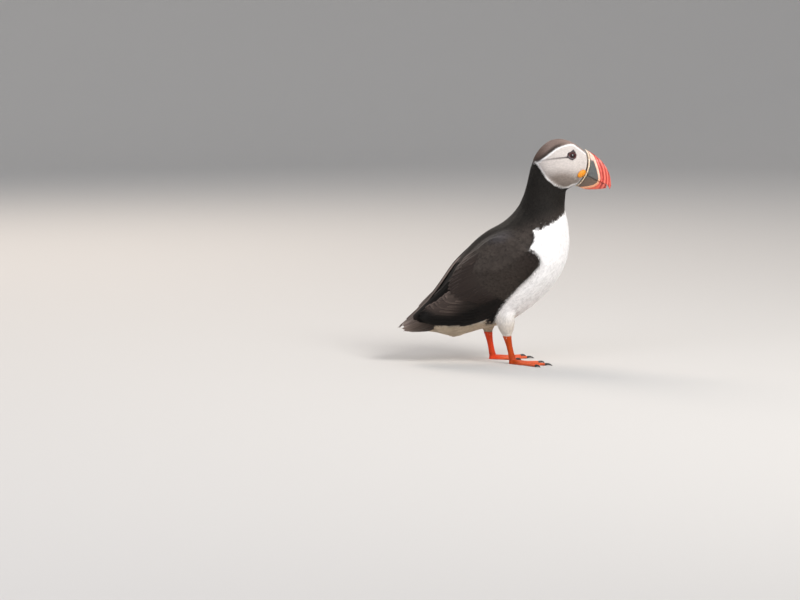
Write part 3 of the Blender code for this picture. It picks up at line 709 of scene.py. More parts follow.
def lie_field(points, parts):
    """Which way feathers point, before it is laid on the surface.

    They point down the head, wings and thighs, and along lines from nape to tail on the body.
    """
    back, belly = np.array(BACK), np.array(BELLY)
    steps = np.linspace(0, len(BACK) - 1, LIE_STEPS)
    rows = np.arange(len(BACK))
    top, bottom = (
        np.column_stack([np.interp(steps, rows, table[:, k]) for k in range(2)]) for table in (back, belly)
    )
    tree = KDTree(LIE_STEPS * LIE_LINES)
    flow = []
    for share in np.linspace(0, 1, LIE_LINES):
        centre = top + (bottom - top) * share
        heading = unit(-np.gradient(centre, axis=0))
        for place, way in zip(centre, heading):
            tree.insert((place[0], 0, place[1]), len(flow))
            flow.append(way)
    tree.balance()
    flow = np.array(flow)
    found = np.array([tree.find((x, 0, z))[1] for x, z in points[:, (0, 2)]])
    lie = np.zeros((len(points), 3))
    lie[:, 0], lie[:, 2] = flow[found].T
    lie += (np.array(WING_LIE) - lie) * (of_parts(parts, WING_NODES) * 0.8)[:, None]
    lie += (np.array(THIGH_LIE) - lie) * (of_parts(parts, THIGH_NODES) * 0.9)[:, None]
    (ax, az), (bx, bz) = COLLAR
    over = ((points[:, 2] - az) * (bx - ax) - (points[:, 0] - ax) * (bz - az)) / math.hypot(bx - ax, bz - az)
    lie += (np.array(HEAD_LIE) - lie) * eased(0.5 + over / 14)[:, None]
    return unit(lie)


def laid(vectors, normals):
    """Vectors turned into the surface."""
    return unit(vectors - normals * (vectors * normals).sum(1, keepdims=True))


def tracts_of(points, parts):
    """The name of the feather tract that each skin point belongs to."""
    at = profile(points)
    names = np.array(BODY_NODES)[parts]
    tract = np.full(len(points), "mantle", "<U9")
    tract[inside(at, WHITE_FRONT) > -1] = "belly"
    tract[(names == "neck") & (inside(at, WHITE_FRONT) < 0.5)] = "neck"
    tract[(inside(at, UNDERTAIL) > 0) | ((names == "tail") & (at[:, 1] < 36))] = "undertail"
    tract[np.char.startswith(names, "wing") & (over_wing(at) < 0)] = "wing"
    tract[np.char.startswith(names, "thigh")] = "thigh"
    tract[(names == "head") | ((inside(at, FACE) > -0.6) & (at[:, 1] > HEAD_FLOOR))] = "face"
    return tract


def fill_folds(mesh, points, normals, on_wing, on_thigh):
    """Skin points with the folds round wing and hip filled, and how far each lies in such a fold, 0 to 1."""
    seam = spread(mesh, on_wing, SEAM_ROUNDS)
    hip = spread(mesh, on_thigh, HIP_ROUNDS)
    wing_seam = 4 * seam * (1 - seam)
    scapulars = wing_seam * eased((over_wing(profile(points)) + 1) / 5) * eased((18 - points[:, 0]) / 10)
    hip_fold = 4 * hip * (1 - hip) * (points[:, 2] > HIP_FOLD_FLOOR)
    fold = np.maximum(hip_fold, wing_seam * eased((points[:, 0] - 8) / 10))
    smoothed = spread(mesh, points, SMOOTH_ROUNDS) - points
    filled = smoothed * eased((smoothed * normals).sum(1) / 0.6)[:, None]
    points = points + smoothed * np.clip(spread(mesh, scapulars, 12) * 2.5, 0, 1)[:, None]
    fold = np.clip(spread(mesh, fold, 12) * 2.5, 0, 1)
    points = points + filled * fold[:, None]
    jump = spread(mesh, points, 20) - points
    jumps = eased((np.linalg.norm(jump, axis=1) - 0.5) / 0.5)
    return points + jump * (jumps * fold)[:, None], fold


def lie_on(mesh, points, normals, parts, front_edge):
    """Which way feathers point on the skin; front_edge is 1 where they point down the wing's front edge."""
    lie = lie_field(points, parts)
    (start, rise), turn = WRIST_TURN
    edge_lie = np.array(WING_EDGE_LIE) + np.outer(eased((points[:, 2] - start) / rise), turn)
    lie += (edge_lie - lie) * front_edge[:, None]
    return laid(spread(mesh, laid(lie, normals), 8), normals)


def draw_in_tail(points):
    """Draws the skin in behind the tail's stump, under the quills."""
    beyond = np.clip(TAIL_STUMP - points[:, 0], 0, None)
    points[:, 0] += beyond * 0.7
    points[:, 1] *= 1 - 0.05 * beyond


def bare_places(points, at):
    """Where the skin grows no feathers on the head: round the eyes, on the lids and under the horn pieces."""
    bare = (inside(at, EYE_PATCH) > -0.1) & (at[:, 1] > CROWN_FLOOR)
    for side_name in SIDES:
        bare |= np.linalg.norm(points - eye_frame(side_name)[0], axis=1) < EYE_RADIUS + 0.3
    proud_pieces = ("gape", "brow_plate", "lid_plate")
    proud, _ = form_of([f"{piece}_{side_name}" for piece in proud_pieces for side_name in SIDES])
    return bare | np.array([proud.find_nearest(p, 0.9)[0] is not None for p in points.tolist()])


def store_feather_sizes(mesh, points, at, tract, quilled_by, on_wing, front_edge):
    """Each point's feather length and how much it stands off, as reach and loft; returns the plain length."""
    reach = np.zeros(len(points))
    for name, size in TRACTS.items():
        reach[tract == name] = size["length"]
    reach[tract == "bare"] = TRACTS["wing"]["length"]
    reach = spread(mesh, reach, 4)
    reach *= 1 - 0.6 * eased((3.5 + inside(at, EYE_PATCH)) / 3) * (at[:, 1] > CROWN_FLOOR)
    cover = eased(1 + quilled_by / 15) * (on_wing > 0.5) * (at[:, 0] > -48)
    scapular = eased(1 - np.abs(over_wing(at) - 5) / 12) * (tract == "mantle")
    rim = eased(1 - np.abs(inside(at, FACE) - 0.6) / 3) * (at[:, 1] < 202)
    tuft = within(at, TUFT) * (tract == "undertail")
    reach *= 1 - 0.35 * front_edge
    under_quills = soft_edge(inside(at, RUMP_SHADE) + 3, 4)
    longer = 1 + 0.6 * cover + 0.3 * scapular - 0.5 * rim
    higher = 1 + 3.2 * cover + 0.8 * scapular - 0.7 * rim + 4 * tuft
    store(mesh, "reach", "FLOAT", reach * longer * (1 - 0.5 * under_quills))
    store(mesh, "loft", "FLOAT", higher * (1 - 0.9 * under_quills))
    return reach


def build_skin():
    """The hide over the body, with the values that its feathers grow by."""
    _, coat, _ = settings()
    body = fine_copy("skin", (*BODY_NODES, "eye_left", "eye_right"), SKIN_SWELL, SKIN_VOXEL, rounds=4)
    mesh = body.data
    points, normals = points_of(mesh), normals_of(mesh)
    tree, owners = form_of(BODY_NODES)
    parts = np.array([owners[tree.find_nearest(p)[2]] for p in points.tolist()])
    depth_of = {"head": coat.head_depth, "neck": coat.neck_depth, "tail": coat.tail_depth}
    depth_of.update({node: coat.wing_depth for node in WING_NODES})
    depth = spread(mesh, np.array([depth_of.get(name, coat.body_depth) for name in BODY_NODES])[parts], 10)
    on_wing = spread(mesh, of_parts(parts, WING_NODES), 5)
    points, fold = fill_folds(mesh, points, normals, on_wing, of_parts(parts, THIGH_NODES))
    place_points(mesh, points)
    normals = normals_of(mesh)
    by_wing = spread(mesh, on_wing, SEAM_ROUNDS) > 0.02
    front_edge = fold * by_wing * eased((WRIST_HEIGHT - points[:, 2]) / 10)
    lie = lie_on(mesh, points, normals, parts, front_edge)
    tract = tracts_of(points, parts)
    points = points - normals * (depth + SKIN_SWELL)[:, None]
    draw_in_tail(points)
    place_points(mesh, points)
    normals = normals_of(mesh)
    at = profile(points)
    tract[bare_places(points, at)] = "bare"
    quilled_by = inside(at, QUILLED) + 6 * ripple(points, 4) * (at[:, 0] > -50)
    outer = normals[:, 1] * np.sign(points[:, 1]) > np.where(at[:, 0] < -44, -0.5, 0.3)
    tract[(on_wing > 0.3) & (quilled_by > 1) & outer] = "bare"
    store(mesh, "lie", "FLOAT_VECTOR", lie)
    store(mesh, "outward", "FLOAT_VECTOR", unit(spread(mesh, normals, 6)))
    for name in TRACTS:
        store(mesh, "on_" + name, "FLOAT", (tract == name).astype(float))
    reach = store_feather_sizes(mesh, points, at, tract, quilled_by, on_wing, front_edge)
    tint = markings_and_shade(points + lie * (reach * 0.45)[:, None], on_wing)
    store_tint(mesh, "tint", tint)
    store_tint(mesh, "vane_tint", tint)
    return body


# The small feathers

VANE_ROWS = ((0.22, 0.34), (0.5, 0.47))  # along a vane and its half width there, below its tip
VANE_TIP = 0.46  # half width of the tip
VANE_LOBES = (-0.75, -0.25, 0.25, 0.75)
VANE_NOTCHES = (-1, -0.5, 0, 0.5, 1)
VANE_KINDS = 4  # different vanes in each tract
VANE_SEED = 3
PATCH = 0.003  # width of a feather's patch on the map
ROOTS_LIMIT = 4e6  # per square metre, far more than any spacing leaves
LENGTH_RANGE = (0.85, 1.12)
SHADE_RANGE = (0.84, 1.12)
VANE_SINK = 0.12  # how far a root lies under the skin
VANE_THICKNESS = 0.1
VANE_SPREAD = 9  # degrees that a feather may turn away from the lie


def vane_arc(across):
    """How far along a vane its round tip reaches."""
    return 0.74 + 0.26 * math.sqrt(1 - (across * 0.93) ** 2)


def vane_mesh(name, split, rng):
    """A small closed feather with a raised middle, one unit long along +Y from its root and one unit wide.

    split is how far the notches of its tip go in, from 0 for a whole vane to 1 for loose strands.
    lifted is how far each point stands off the skin, as a share of the feather's lift.
    solid is how far it stands off the middle of the feather, as a share of its thickness.
    """
    points, lifted, solid = [], [], []

    def point(across, along, thick, edge=0.0):
        points.append((across, along))
        lifted.append(along * (1 - edge))
        solid.append(thick)
        return len(points) - 1

    root = point(0, 0, 0)
    rows = [
        (point(-half, along, 0, 0.2), point(0, along, 1), point(half, along, 0, 0.2), point(0, along, -0.4))
        for along, half in VANE_ROWS
    ]
    peaks = [(across, vane_arc(across) + rng.uniform(-0.1, 0.06)) for across in VANE_LOBES]
    notches = [
        (across, vane_arc(across) - split * (vane_arc(across) - 0.52) + rng.uniform(-0.03, 0.03))
        for across in VANE_NOTCHES
    ]
    notch = [point(across * VANE_TIP, along, 0, 0.15 * abs(across)) for across, along in notches]
    peak = [point(across * VANE_TIP, along, 0, 0.2 * abs(across)) for across, along in peaks]
    crest = []
    for k, (across, along) in enumerate(peaks):
        height = 0.5 * along + 0.25 * (notches[k][1] + notches[k + 1][1])
        crest.append(point(across * VANE_TIP, height, 0.8, 0.1 * abs(across)))
    sheets = {1: [], -1: []}
    (left1, top1, right1, under1), (left2, top2, right2, under2) = rows
    for sheet, middle1, middle2 in ((1, top1, top2), (-1, under1, under2)):
        sheets[sheet] += [
            (root, middle1, left1), (root, right1, middle1),
            (left1, middle1, middle2, left2), (middle1, right1, right2, middle2),
            (left2, notch[1], notch[0]), (left2, middle2, notch[1]), (middle2, notch[2], notch[1]),
            (middle2, notch[3], notch[2]), (middle2, right2, notch[3]), (right2, notch[4], notch[3]),
        ]
    for k in range(len(peaks)):
        a, b = notch[k], notch[k + 1]
        sheets[1] += [(a, b, crest[k]), (b, peak[k], crest[k]), (peak[k], a, crest[k])]
        sheets[-1].append((a, b, peak[k]))

    def turned_up(face, sheet):
        (ax, ay), (bx, by), (cx, cy) = (points[v] for v in face[:3])
        return face if sheet * ((bx - ax) * (cy - ay) - (by - ay) * (cx - ax)) > 0 else tuple(reversed(face))

    mesh = bpy.data.meshes.new(name)
    turned = [turned_up(face, sheet) for sheet, faces in sheets.items() for face in faces]
    mesh.from_pydata([(x, y, 0) for x, y in points], [], turned)
    sides = [
        {frozenset(pair) for face in faces for pair in zip(face, face[1:] + face[:1])}
        for faces in sheets.values()
    ]
    for edge in mesh.edges:
        edge.use_edge_sharp = all(frozenset(edge.vertices) in found for found in sides)
    store(mesh, "lifted", "FLOAT", lifted)
    store(mesh, "solid", "FLOAT", solid)
    store(mesh, "vane", "FLOAT_VECTOR", [(x * 2, y, 0) for x, y in points])
    return mesh


def grown_vanes(tree, group, values):
    """Nodes that set vanes at even random roots, turned along the lie, and sized by reach."""
    mask = add_node(tree, "GeometryNodeInputNamedAttribute", {"Name": group["Tract"]}, data_type="FLOAT")
    scatter = {
        "Mesh": group["Skin"], "Distance Min": group["Spacing"], "Density Max": ROOTS_LIMIT,
        "Density Factor": mask.outputs["Attribute"], "Seed": group["Seed"],
    }
    roots = add_node(tree, "GeometryNodeDistributePointsOnFaces", scatter, distribute_method="POISSON")
    most = group["Spread"]
    least = add_node(tree, "ShaderNodeMath", {0: most, 1: -1.0}, operation="MULTIPLY").outputs[0]
    chances = []
    for shift, (low, high) in enumerate(((least, most), LENGTH_RANGE, SHADE_RANGE), 1):
        seed = add_node(tree, "ShaderNodeMath", {0: group["Seed"], 1: float(shift)}, operation="ADD")
        limits = {2: low, 3: high, "Seed": seed.outputs[0]}
        chances.append(add_node(tree, "FunctionNodeRandomValue", limits, data_type="FLOAT").outputs[1])
    wander, stretch, shade = chances
    shading = {"Geometry": roots.outputs["Points"], "Name": "shade", "Value": shade}
    shaded = add_node(tree, "GeometryNodeStoreNamedAttribute", shading, data_type="FLOAT", domain="POINT")
    axes = {"Primary Axis": values["outward"], "Secondary Axis": values["lie"]}
    aimed = add_node(tree, "FunctionNodeAxesToRotation", axes, primary_axis="Z", secondary_axis="Y")
    angles = add_node(tree, "ShaderNodeCombineXYZ", {"Z": wander}).outputs[0]
    turn = add_node(tree, "FunctionNodeEulerToRotation", {0: angles}).outputs[0]
    both = {"Rotation": aimed.outputs[0], "Rotate By": turn}
    turned = add_node(tree, "FunctionNodeRotateRotation", both, rotation_space="LOCAL").outputs[0]
    reach = add_node(tree, "ShaderNodeMath", {0: values["reach"], 1: MM}, operation="MULTIPLY").outputs[0]
    length = add_node(tree, "ShaderNodeMath", {0: reach, 1: stretch}, operation="MULTIPLY").outputs[0]
    width = add_node(tree, "ShaderNodeMath", {0: length, 1: group["Slimness"]}, operation="MULTIPLY")
    sizes = {"X": width.outputs[0], "Y": length, "Z": MM}
    size = add_node(tree, "ShaderNodeCombineXYZ", sizes).outputs[0]
    choice = {"Collection": group["Vanes"], "Separate Children": True, "Reset Children": True}
    kinds = add_node(tree, "GeometryNodeCollectionInfo", choice).outputs[0]
    planting = {"Points": shaded.outputs[0], "Rotation": turned, "Scale": size}
    planting.update({"Instance": kinds, "Pick Instance": True})
    grown = add_node(tree, "GeometryNodeInstanceOnPoints", planting).outputs[0]
    return add_node(tree, "GeometryNodeRealizeInstances", {"Geometry": grown}).outputs[0]


def bent_to_skin(tree, group, values, vanes):
    """Nodes that bend vanes to the skin under them, and lift them off it by lift, loft and thickness."""
    position = add_node(tree, "GeometryNodeInputPosition").outputs[0]
    samples = []
    for value in (position, values["outward"]):
        asked = {"Mesh": group["Skin"], "Value": value}
        sample = add_node(tree, "GeometryNodeSampleNearestSurface", asked, data_type="FLOAT_VECTOR")
        samples.append(sample.outputs["Value"])
    under, outward = samples
    loft = {0: values["lifted"], 1: values["loft"]}
    rise = add_node(tree, "ShaderNodeMath", loft, operation="MULTIPLY").outputs[0]
    rise = add_node(tree, "ShaderNodeMath", {0: rise, 1: group["Lift"]}, operation="MULTIPLY").outputs[0]
    thickness = {0: values["solid"], 1: group["Thickness"]}
    thick = add_node(tree, "ShaderNodeMath", thickness, operation="MULTIPLY").outputs[0]
    rise = add_node(tree, "ShaderNodeMath", {0: rise, 1: thick}, operation="ADD").outputs[0]
    rise = add_node(tree, "ShaderNodeMath", {0: rise, 1: group["Sink"]}, operation="SUBTRACT").outputs[0]
    away = add_node(tree, "ShaderNodeVectorMath", {0: outward}, operation="NORMALIZE").outputs[0]
    raised = add_node(tree, "ShaderNodeVectorMath", {0: away, "Scale": rise}, operation="SCALE").outputs[0]
    place = add_node(tree, "ShaderNodeVectorMath", {0: under, 1: raised}, operation="ADD").outputs[0]
    marks = {"Geometry": vanes, "Name": "under", "Value": outward}
    kinds = {"data_type": "FLOAT_VECTOR", "domain": "POINT"}
    marked = add_node(tree, "GeometryNodeStoreNamedAttribute", marks, **kinds).outputs[0]
    return add_node(tree, "GeometryNodeSetPosition", {"Geometry": marked, "Position": place}).outputs[0]


def plumage_tree():
    """A Geometry Nodes tree that grows vanes on a skin by the values stored on both."""
    tree = bpy.data.node_groups.new("plumage", "GeometryNodeTree")
    face = tree.interface
    for name, kind in (
        ("Skin", "Geometry"), ("Vanes", "Collection"), ("Tract", "String"), ("Spacing", "Float"),
        ("Slimness", "Float"), ("Lift", "Float"), ("Sink", "Float"), ("Thickness", "Float"),
        ("Spread", "Float"), ("Seed", "Int"), ("Finish", "Material"),
    ):
        face.new_socket(name, in_out="INPUT", socket_type="NodeSocket" + kind)
    face.new_socket("Plumage", in_out="OUTPUT", socket_type="NodeSocketGeometry")
    group = add_node(tree, "NodeGroupInput").outputs
    values = {}
    for name, kind in (
        ("outward", "FLOAT_VECTOR"), ("lie", "FLOAT_VECTOR"), ("reach", "FLOAT"), ("loft", "FLOAT"),
        ("lifted", "FLOAT"), ("solid", "FLOAT"),
    ):
        value = add_node(tree, "GeometryNodeInputNamedAttribute", {"Name": name}, data_type=kind)
        values[name] = value.outputs["Attribute"]
    bent = bent_to_skin(tree, group, values, grown_vanes(tree, group, values))
    finished = {"Geometry": bent, "Material": group["Finish"]}
    done = add_node(tree, "GeometryNodeSetMaterial", finished).outputs[0]
    add_node(tree, "NodeGroupOutput", {"Plumage": done})
    return tree


def tidy_uv(mesh):
    """The OFBake map of a coat piece: each feather is a small patch at its root's place on the skin's map."""
    roots = stored(mesh, "root", 3)[:, :2]
    vane = stored(mesh, "vane", 3)[:, :2]
    places = roots + (vane * (0.5, 1.0) - (0, 0.5)) * PATCH
    loops = np.empty(len(mesh.loops), np.int32)
    mesh.loops.foreach_get("vertex_index", loops)
    for layer in list(mesh.uv_layers):
        mesh.uv_layers.remove(layer)
    layer = mesh.uv_layers.new(name="OFBake")
    layer.uv.foreach_set("vector", places[loops].astype(np.float32).ravel())


def calm_normals(mesh, calm):
    """Turns the shading of each feather part of the way to the skin's, so that the coat reads as one."""
    corners = np.empty(len(mesh.loops) * 3, np.float32)
    mesh.corner_normals.foreach_get("vector", corners)
    corners = corners.reshape(-1, 3)
    loops = np.empty(len(mesh.loops), np.int32)
    mesh.loops.foreach_get("vertex_index", loops)
    under = unit(stored(mesh, "under", 3))[loops]
    facing = np.sign((corners * under).sum(1, keepdims=True))
    wanted = unit(corners * (1 - calm) + under * np.where(facing == 0, 1, facing) * calm)
    layer = mesh.attributes.new("custom_normal", "FLOAT_VECTOR", "CORNER")
    layer.data.foreach_set("vector", wanted.astype(np.float32).ravel())


def grow_plumage(skin, tract, size, tree, vanes, material):
    """The small feathers of one tract as a mesh piece."""
    _, coat, _ = settings()
    obj = bpy.data.objects.new("plumage_" + tract, skin.data.copy())
    bpy.context.scene.collection.objects.link(obj)
    grower = obj.modifiers.new("plumage", "NODES")
    grower.node_group = tree
    wanted = {
        "Vanes": vanes,
        "Tract": "on_" + tract,
        "Spacing": size["spacing"] * coat.spacing * MM,
        "Slimness": size["slim"],
        "Lift": size["lift"] * MM,
        "Sink": VANE_SINK * MM,
        "Thickness": VANE_THICKNESS * MM,
        "Spread": math.radians(VANE_SPREAD),
        "Seed": coat.seed,
        "Finish": material,
    }
    for item in tree.interface.items_tree:
        if item.name in wanted:
            grower[item.identifier] = wanted[item.name]
    applied(obj)
    obj.data.name = obj.name
    tidy_uv(obj.data)
    calm_normals(obj.data, size["calm"])
    return obj


# Quills of the wings and tail

STATIONS = 16  # places along a quill
ACROSS = np.array([-1, -0.6, -0.2, -0.06, 0, 0.06, 0.2, 0.6, 1])  # places across it, from its lower edge up
SHAFT = 4  # the place of the shaft in ACROSS
QUILL_THICKNESS = 0.16
QUILL_DEPTH = 1.6  # how deep a wing quill's root lies
QUILL_TILT = 0.28  # how far a wing quill's lower edge lies over the next quill
QUILL_CROWN = 0.12  # how far its middle stands over its edges
SHAFT_RISE = 0.14
SHAFT_WIDTH = 0.1

# Each row of wing quills in the side profile: roots of the first and the last quill, and their tips' line.
# half is half a quill's width, and bow is how far the first and the last one bend up.
# base is the first one's height over the wing, and step is how much further each next one stands off.
# point is how much of a quill its rounded tip takes, and wear is how worn the first and the last are.
# A quill leaves the skin after the first share of its length in rise, and is fully raised after the second.
# root_sheen is how much lighter it is towards its root, a painted sheen to match the coverts over it,
# and far is the row's share of FAR_WING_REACH.
WING_ROWS = {
    "primaries": {
        "roots": ((-10, 47), (-20, 67)),
        "tips": (
            (-88.5, 46), (-86, 49), (-82.5, 53), (-76.5, 57.2), (-70.5, 60.8), (-65, 64.2), (-60.5, 67.6),
        ),
        "count": 9, "half": 5.6, "bow": (-3.2, -1.0), "base": 0.6, "step": 0.05, "point": 0.2,
        "wear": (0.3, 0.75), "rise": (0.1, 0.5), "root_sheen": 0.25, "far": 1,
    },
    "secondaries": {
        "roots": ((2, 76), (-17, 117)),
        "tips": (
            (-27, 61), (-34, 61.4), (-41, 62.6), (-48, 64.8), (-54, 68), (-58.4, 72.4), (-58.4, 78),
            (-56.4, 84), (-53, 89.5), (-48.5, 94.5), (-44, 98.5),
        ),
        "count": 18, "half": 4.2, "bow": (-1.5, 1.0), "base": 0.8, "step": 0.04, "point": 0.3,
        "wear": (0.05, 0.3), "rise": (0.3, 0.75), "root_sheen": 0.5, "far": 0.4,
    },
}
FAR_WING_REACH = (-3.0, -2.5)  # how much further the left wing's tips go
TIP_SCATTER = 1.1
WING_Y, BEYOND_WING = 30.0, 90  # first guess of how far out a wing's face lies, and well outside it

# The left wing's longest quills lie over the rump, where the two wings cross: tip's x, root's y and tip's y.
CROSSED_QUILLS = ((-84, 14, 10.5), (-90, 11, 6.5), (-96, 7.5, 2), (-102, 4, -2.6))
CROSSED_RUN = ((-34, 121.5), (-102, 43.5))  # the back's line under them
CROSSED_HALF = 3.7
# How deep a root lies, how high the first one lies, and how much higher each next one does.
CROSSED_DEPTH, CROSSED_LIFT, CROSSED_STEP = 1.2, 2.1, 0.35
CROSSED_DROOP = 1.9  # how far the lower edge hangs

TAIL_QUILLS = 7  # pairs
TAIL_FIRST, TAIL_REACH = 6, 128  # degrees round the tail from its top to the first and the last quill
TAIL_HALF_ANGLE = 15  # degrees that half a quill covers
TAIL_ROOT, TAIL_TIP = -66.0, -107.3
TAIL_DEPTH = 1.0  # how deep a tail quill's root lies
TAIL_END = -105.8  # the flesh of the tail ends here
TAIL_CORE = ((-106.5, -93.5, -79, -64), (34, 39.5, 46, 54))  # x and height of the line inside the tail


class Sheaf:
    """Quills gathered into one mesh, with the values that their finish reads."""

    def __init__(self):
        self.points, self.faces, self.values = [], [], {"vane": [], "tint": [], "shade": [], "root": []}
        self.count = 0

    def add(self, places, outward, thickness, tint, shade, root):
        """A closed quill from its grid of places, stations by across, and the way out of the body at each."""
        rows, columns = places.shape[:2]
        rise = np.exp(-((ACROSS / SHAFT_WIDTH) ** 2)) * SHAFT_RISE
        along = np.linspace(0, 1, rows)
        top = places + outward * (thickness / 2 + rise[None, :, None] * (1 - 0.6 * along[:, None, None]))
        low = places - outward * thickness / 2
        self.points += [top.reshape(-1, 3), low.reshape(-1, 3)]
        sheet = rows * columns

        def at(i, j, side):
            return self.count + side * sheet + i * columns + j

        for i in range(rows - 1):
            for j in range(columns - 1):
                self.faces.append((at(i, j, 0), at(i, j + 1, 0), at(i + 1, j + 1, 0), at(i + 1, j, 0)))
                self.faces.append((at(i, j, 1), at(i + 1, j, 1), at(i + 1, j + 1, 1), at(i, j + 1, 1)))
        ring = [(0, j) for j in range(columns)] + [(i, columns - 1) for i in range(1, rows)]
        ring += [(rows - 1, j) for j in range(columns - 2, -1, -1)] + [(i, 0) for i in range(rows - 2, 0, -1)]
        for a, b in zip(ring, ring[1:] + ring[:1]):
            self.faces.append((at(*a, 0), at(*a, 1), at(*b, 1), at(*b, 0)))
        vane = np.zeros((rows, columns, 3))
        vane[:, :, 0] = ACROSS
        vane[:, :, 1] = along[:, None]
        for _ in range(2):
            self.values["vane"].append(vane.reshape(-1, 3))
            self.values["tint"].append(tint.reshape(-1, 3))
            self.values["shade"].append(np.full(sheet, shade))
            self.values["root"].append(np.tile((*root, 0), (sheet, 1)))
        self.count += 2 * sheet

    def build(self, name, material):
        """All quills as one object, with their values stored on its mesh."""
        mesh = bpy.data.meshes.new(name)
        points = np.concatenate(self.points)
        mesh.from_pydata([(0, 0, 0)] * len(points), [], self.faces)
        place_points(mesh, points)
        store(mesh, "vane", "FLOAT_VECTOR", np.concatenate(self.values["vane"]))
        store(mesh, "shade", "FLOAT", np.concatenate(self.values["shade"]))
        store(mesh, "root", "FLOAT_VECTOR", np.concatenate(self.values["root"]))
        store_tint(mesh, "vane_tint", np.concatenate(self.values["tint"]))
        tidy_uv(mesh)
        work = bmesh.new()
        work.from_mesh(mesh)
        bmesh.ops.recalc_face_normals(work, faces=work.faces)
        work.to_mesh(mesh)
        work.free()
        mesh.materials.append(material)
        return add_object(name, mesh)


def outline_share(along, point):
    """Half width of a quill as a share of its widest: narrow at its root and rounded at its tip."""
    swell = 0.35 + 0.65 * eased(along / 0.35)
    tip = np.sqrt(np.clip(1 - (np.clip(along - (1 - point), 0, None) / point) ** 2, 0, 1))
    return swell * np.maximum(tip, 0.06)


def wing_place(form, x, height, side):
    """The point on a wing's outer face that the side profile shows at (x, height), and the way out there."""
    tilt, y = math.radians(PROFILE_TILT), WING_Y
    out = Vector((0, side, 0))
    for _ in range(3):
        z = (height + y * math.sin(tilt)) / math.cos(tilt)
        hit, normal, _, _ = form.ray_cast(Vector((x, side * BEYOND_WING, z)), Vector((0, -side, 0)))
        if hit is None:
            hit, normal, _, _ = form.find_nearest(Vector((x, side * y, z)))
            hit = Vector((x, hit.y, z))
            normal = out
        y = abs(hit.y)
    return np.array(hit), np.array((normal * 0.4 + out).normalized())


def root_place(tree, corners, point):
    """The place on the skin's unwrap under a point."""
    return corners[tree.find_nearest(point)[2]]


def skin_lookup(skin):
    """A lookup tree over the skin, and each face's place on its unwrap."""
    mesh = skin.data
    tree = BVHTree.FromPolygons(points_of(mesh).tolist(), [tuple(p.vertices) for p in mesh.polygons])
    uv = np.empty(len(mesh.loops) * 2, np.float32)
    mesh.uv_layers["OFBake"].uv.foreach_get("vector", uv)
    uv = uv.reshape(-1, 2)
    starts = np.array([p.loop_start for p in mesh.polygons])
    return tree, uv[starts]


def quill_tint(colours, wear):
    """Quill colour over its grid, worn paler towards the tip and along the edges."""
    along, across = quill_grid()
    tint = np.tile(np.array(colours.quill), (len(along), 1))
    tint = mixed(tint, colours.worn, wear * eased((along - 0.25) / 0.7) * 0.9)
    edge = eased((np.abs(across) - 0.6) / 0.4) * eased((along - 0.45) / 0.3)
    edge = edge + eased((along - 0.95) / 0.05)
    return mixed(tint, colours.fringe, wear * np.clip(edge, 0, 1) * 0.38)


def quill_grid():
    """How far along and across its quill each place of the grid lies."""
    return np.repeat(np.linspace(0, 1, STATIONS), len(ACROSS)), np.tile(ACROSS, STATIONS)


def wing_quill(form, side, row, root, tip, bow, lift):
    """Places over one wing quill's grid, bent up by bow between root and tip, and the way out at each."""
    along = np.linspace(0, 1, STATIONS)
    heading = unit(tip - root)
    square = np.array([heading[1], -heading[0]])
    bent = bow * 4 * along * (1 - along)
    middle = root + (tip - root) * along[:, None] + np.array([0, 1]) * bent[:, None]
    half = row["half"] * outline_share(along, row["point"])
    start, full = row["rise"]
    places = np.empty((STATIONS, len(ACROSS), 3))
    outward = np.empty_like(places)
    for i in range(STATIONS):
        height = (lift + QUILL_DEPTH) * eased((along[i] - start) / (full - start)) - QUILL_DEPTH
        for j, across in enumerate(ACROSS):
            spot = middle[i] - square * half[i] * across
            place, out = wing_place(form, spot[0], spot[1], side)
            crown = QUILL_CROWN * (1 - across**2)
            shingle = QUILL_TILT * across * eased(along[i] / 0.3)
            places[i, j] = place + out * (height + crown + shingle)
            outward[i, j] = out
    places[:, :, 1] = evened(places[:, :, 1], 6)
    return places, outward


def wing_tint(colours, row, places, wear):
    """A wing quill's colour: the coverts' at its root, then its own, and painted shade along the wing's lower
    edge.
    """
    along, _ = quill_grid()
    tint = mixed(quill_tint(colours, wear), colours.wing, eased((0.75 - along) / 0.4) * 0.8)
    # Painted sheen: lighter towards the root, like the coverts' sheen around it.
    tint = tint * (1 + row["root_sheen"] * eased((0.9 - along) / 0.5))[:, None]
    # Painted shade along the wing's lower edge.
    shaded = soft_edge(inside(profile(places.reshape(-1, 3)), WING_SHADE), 7)
    return mixed(tint, colours.flank_and_shade, shaded)


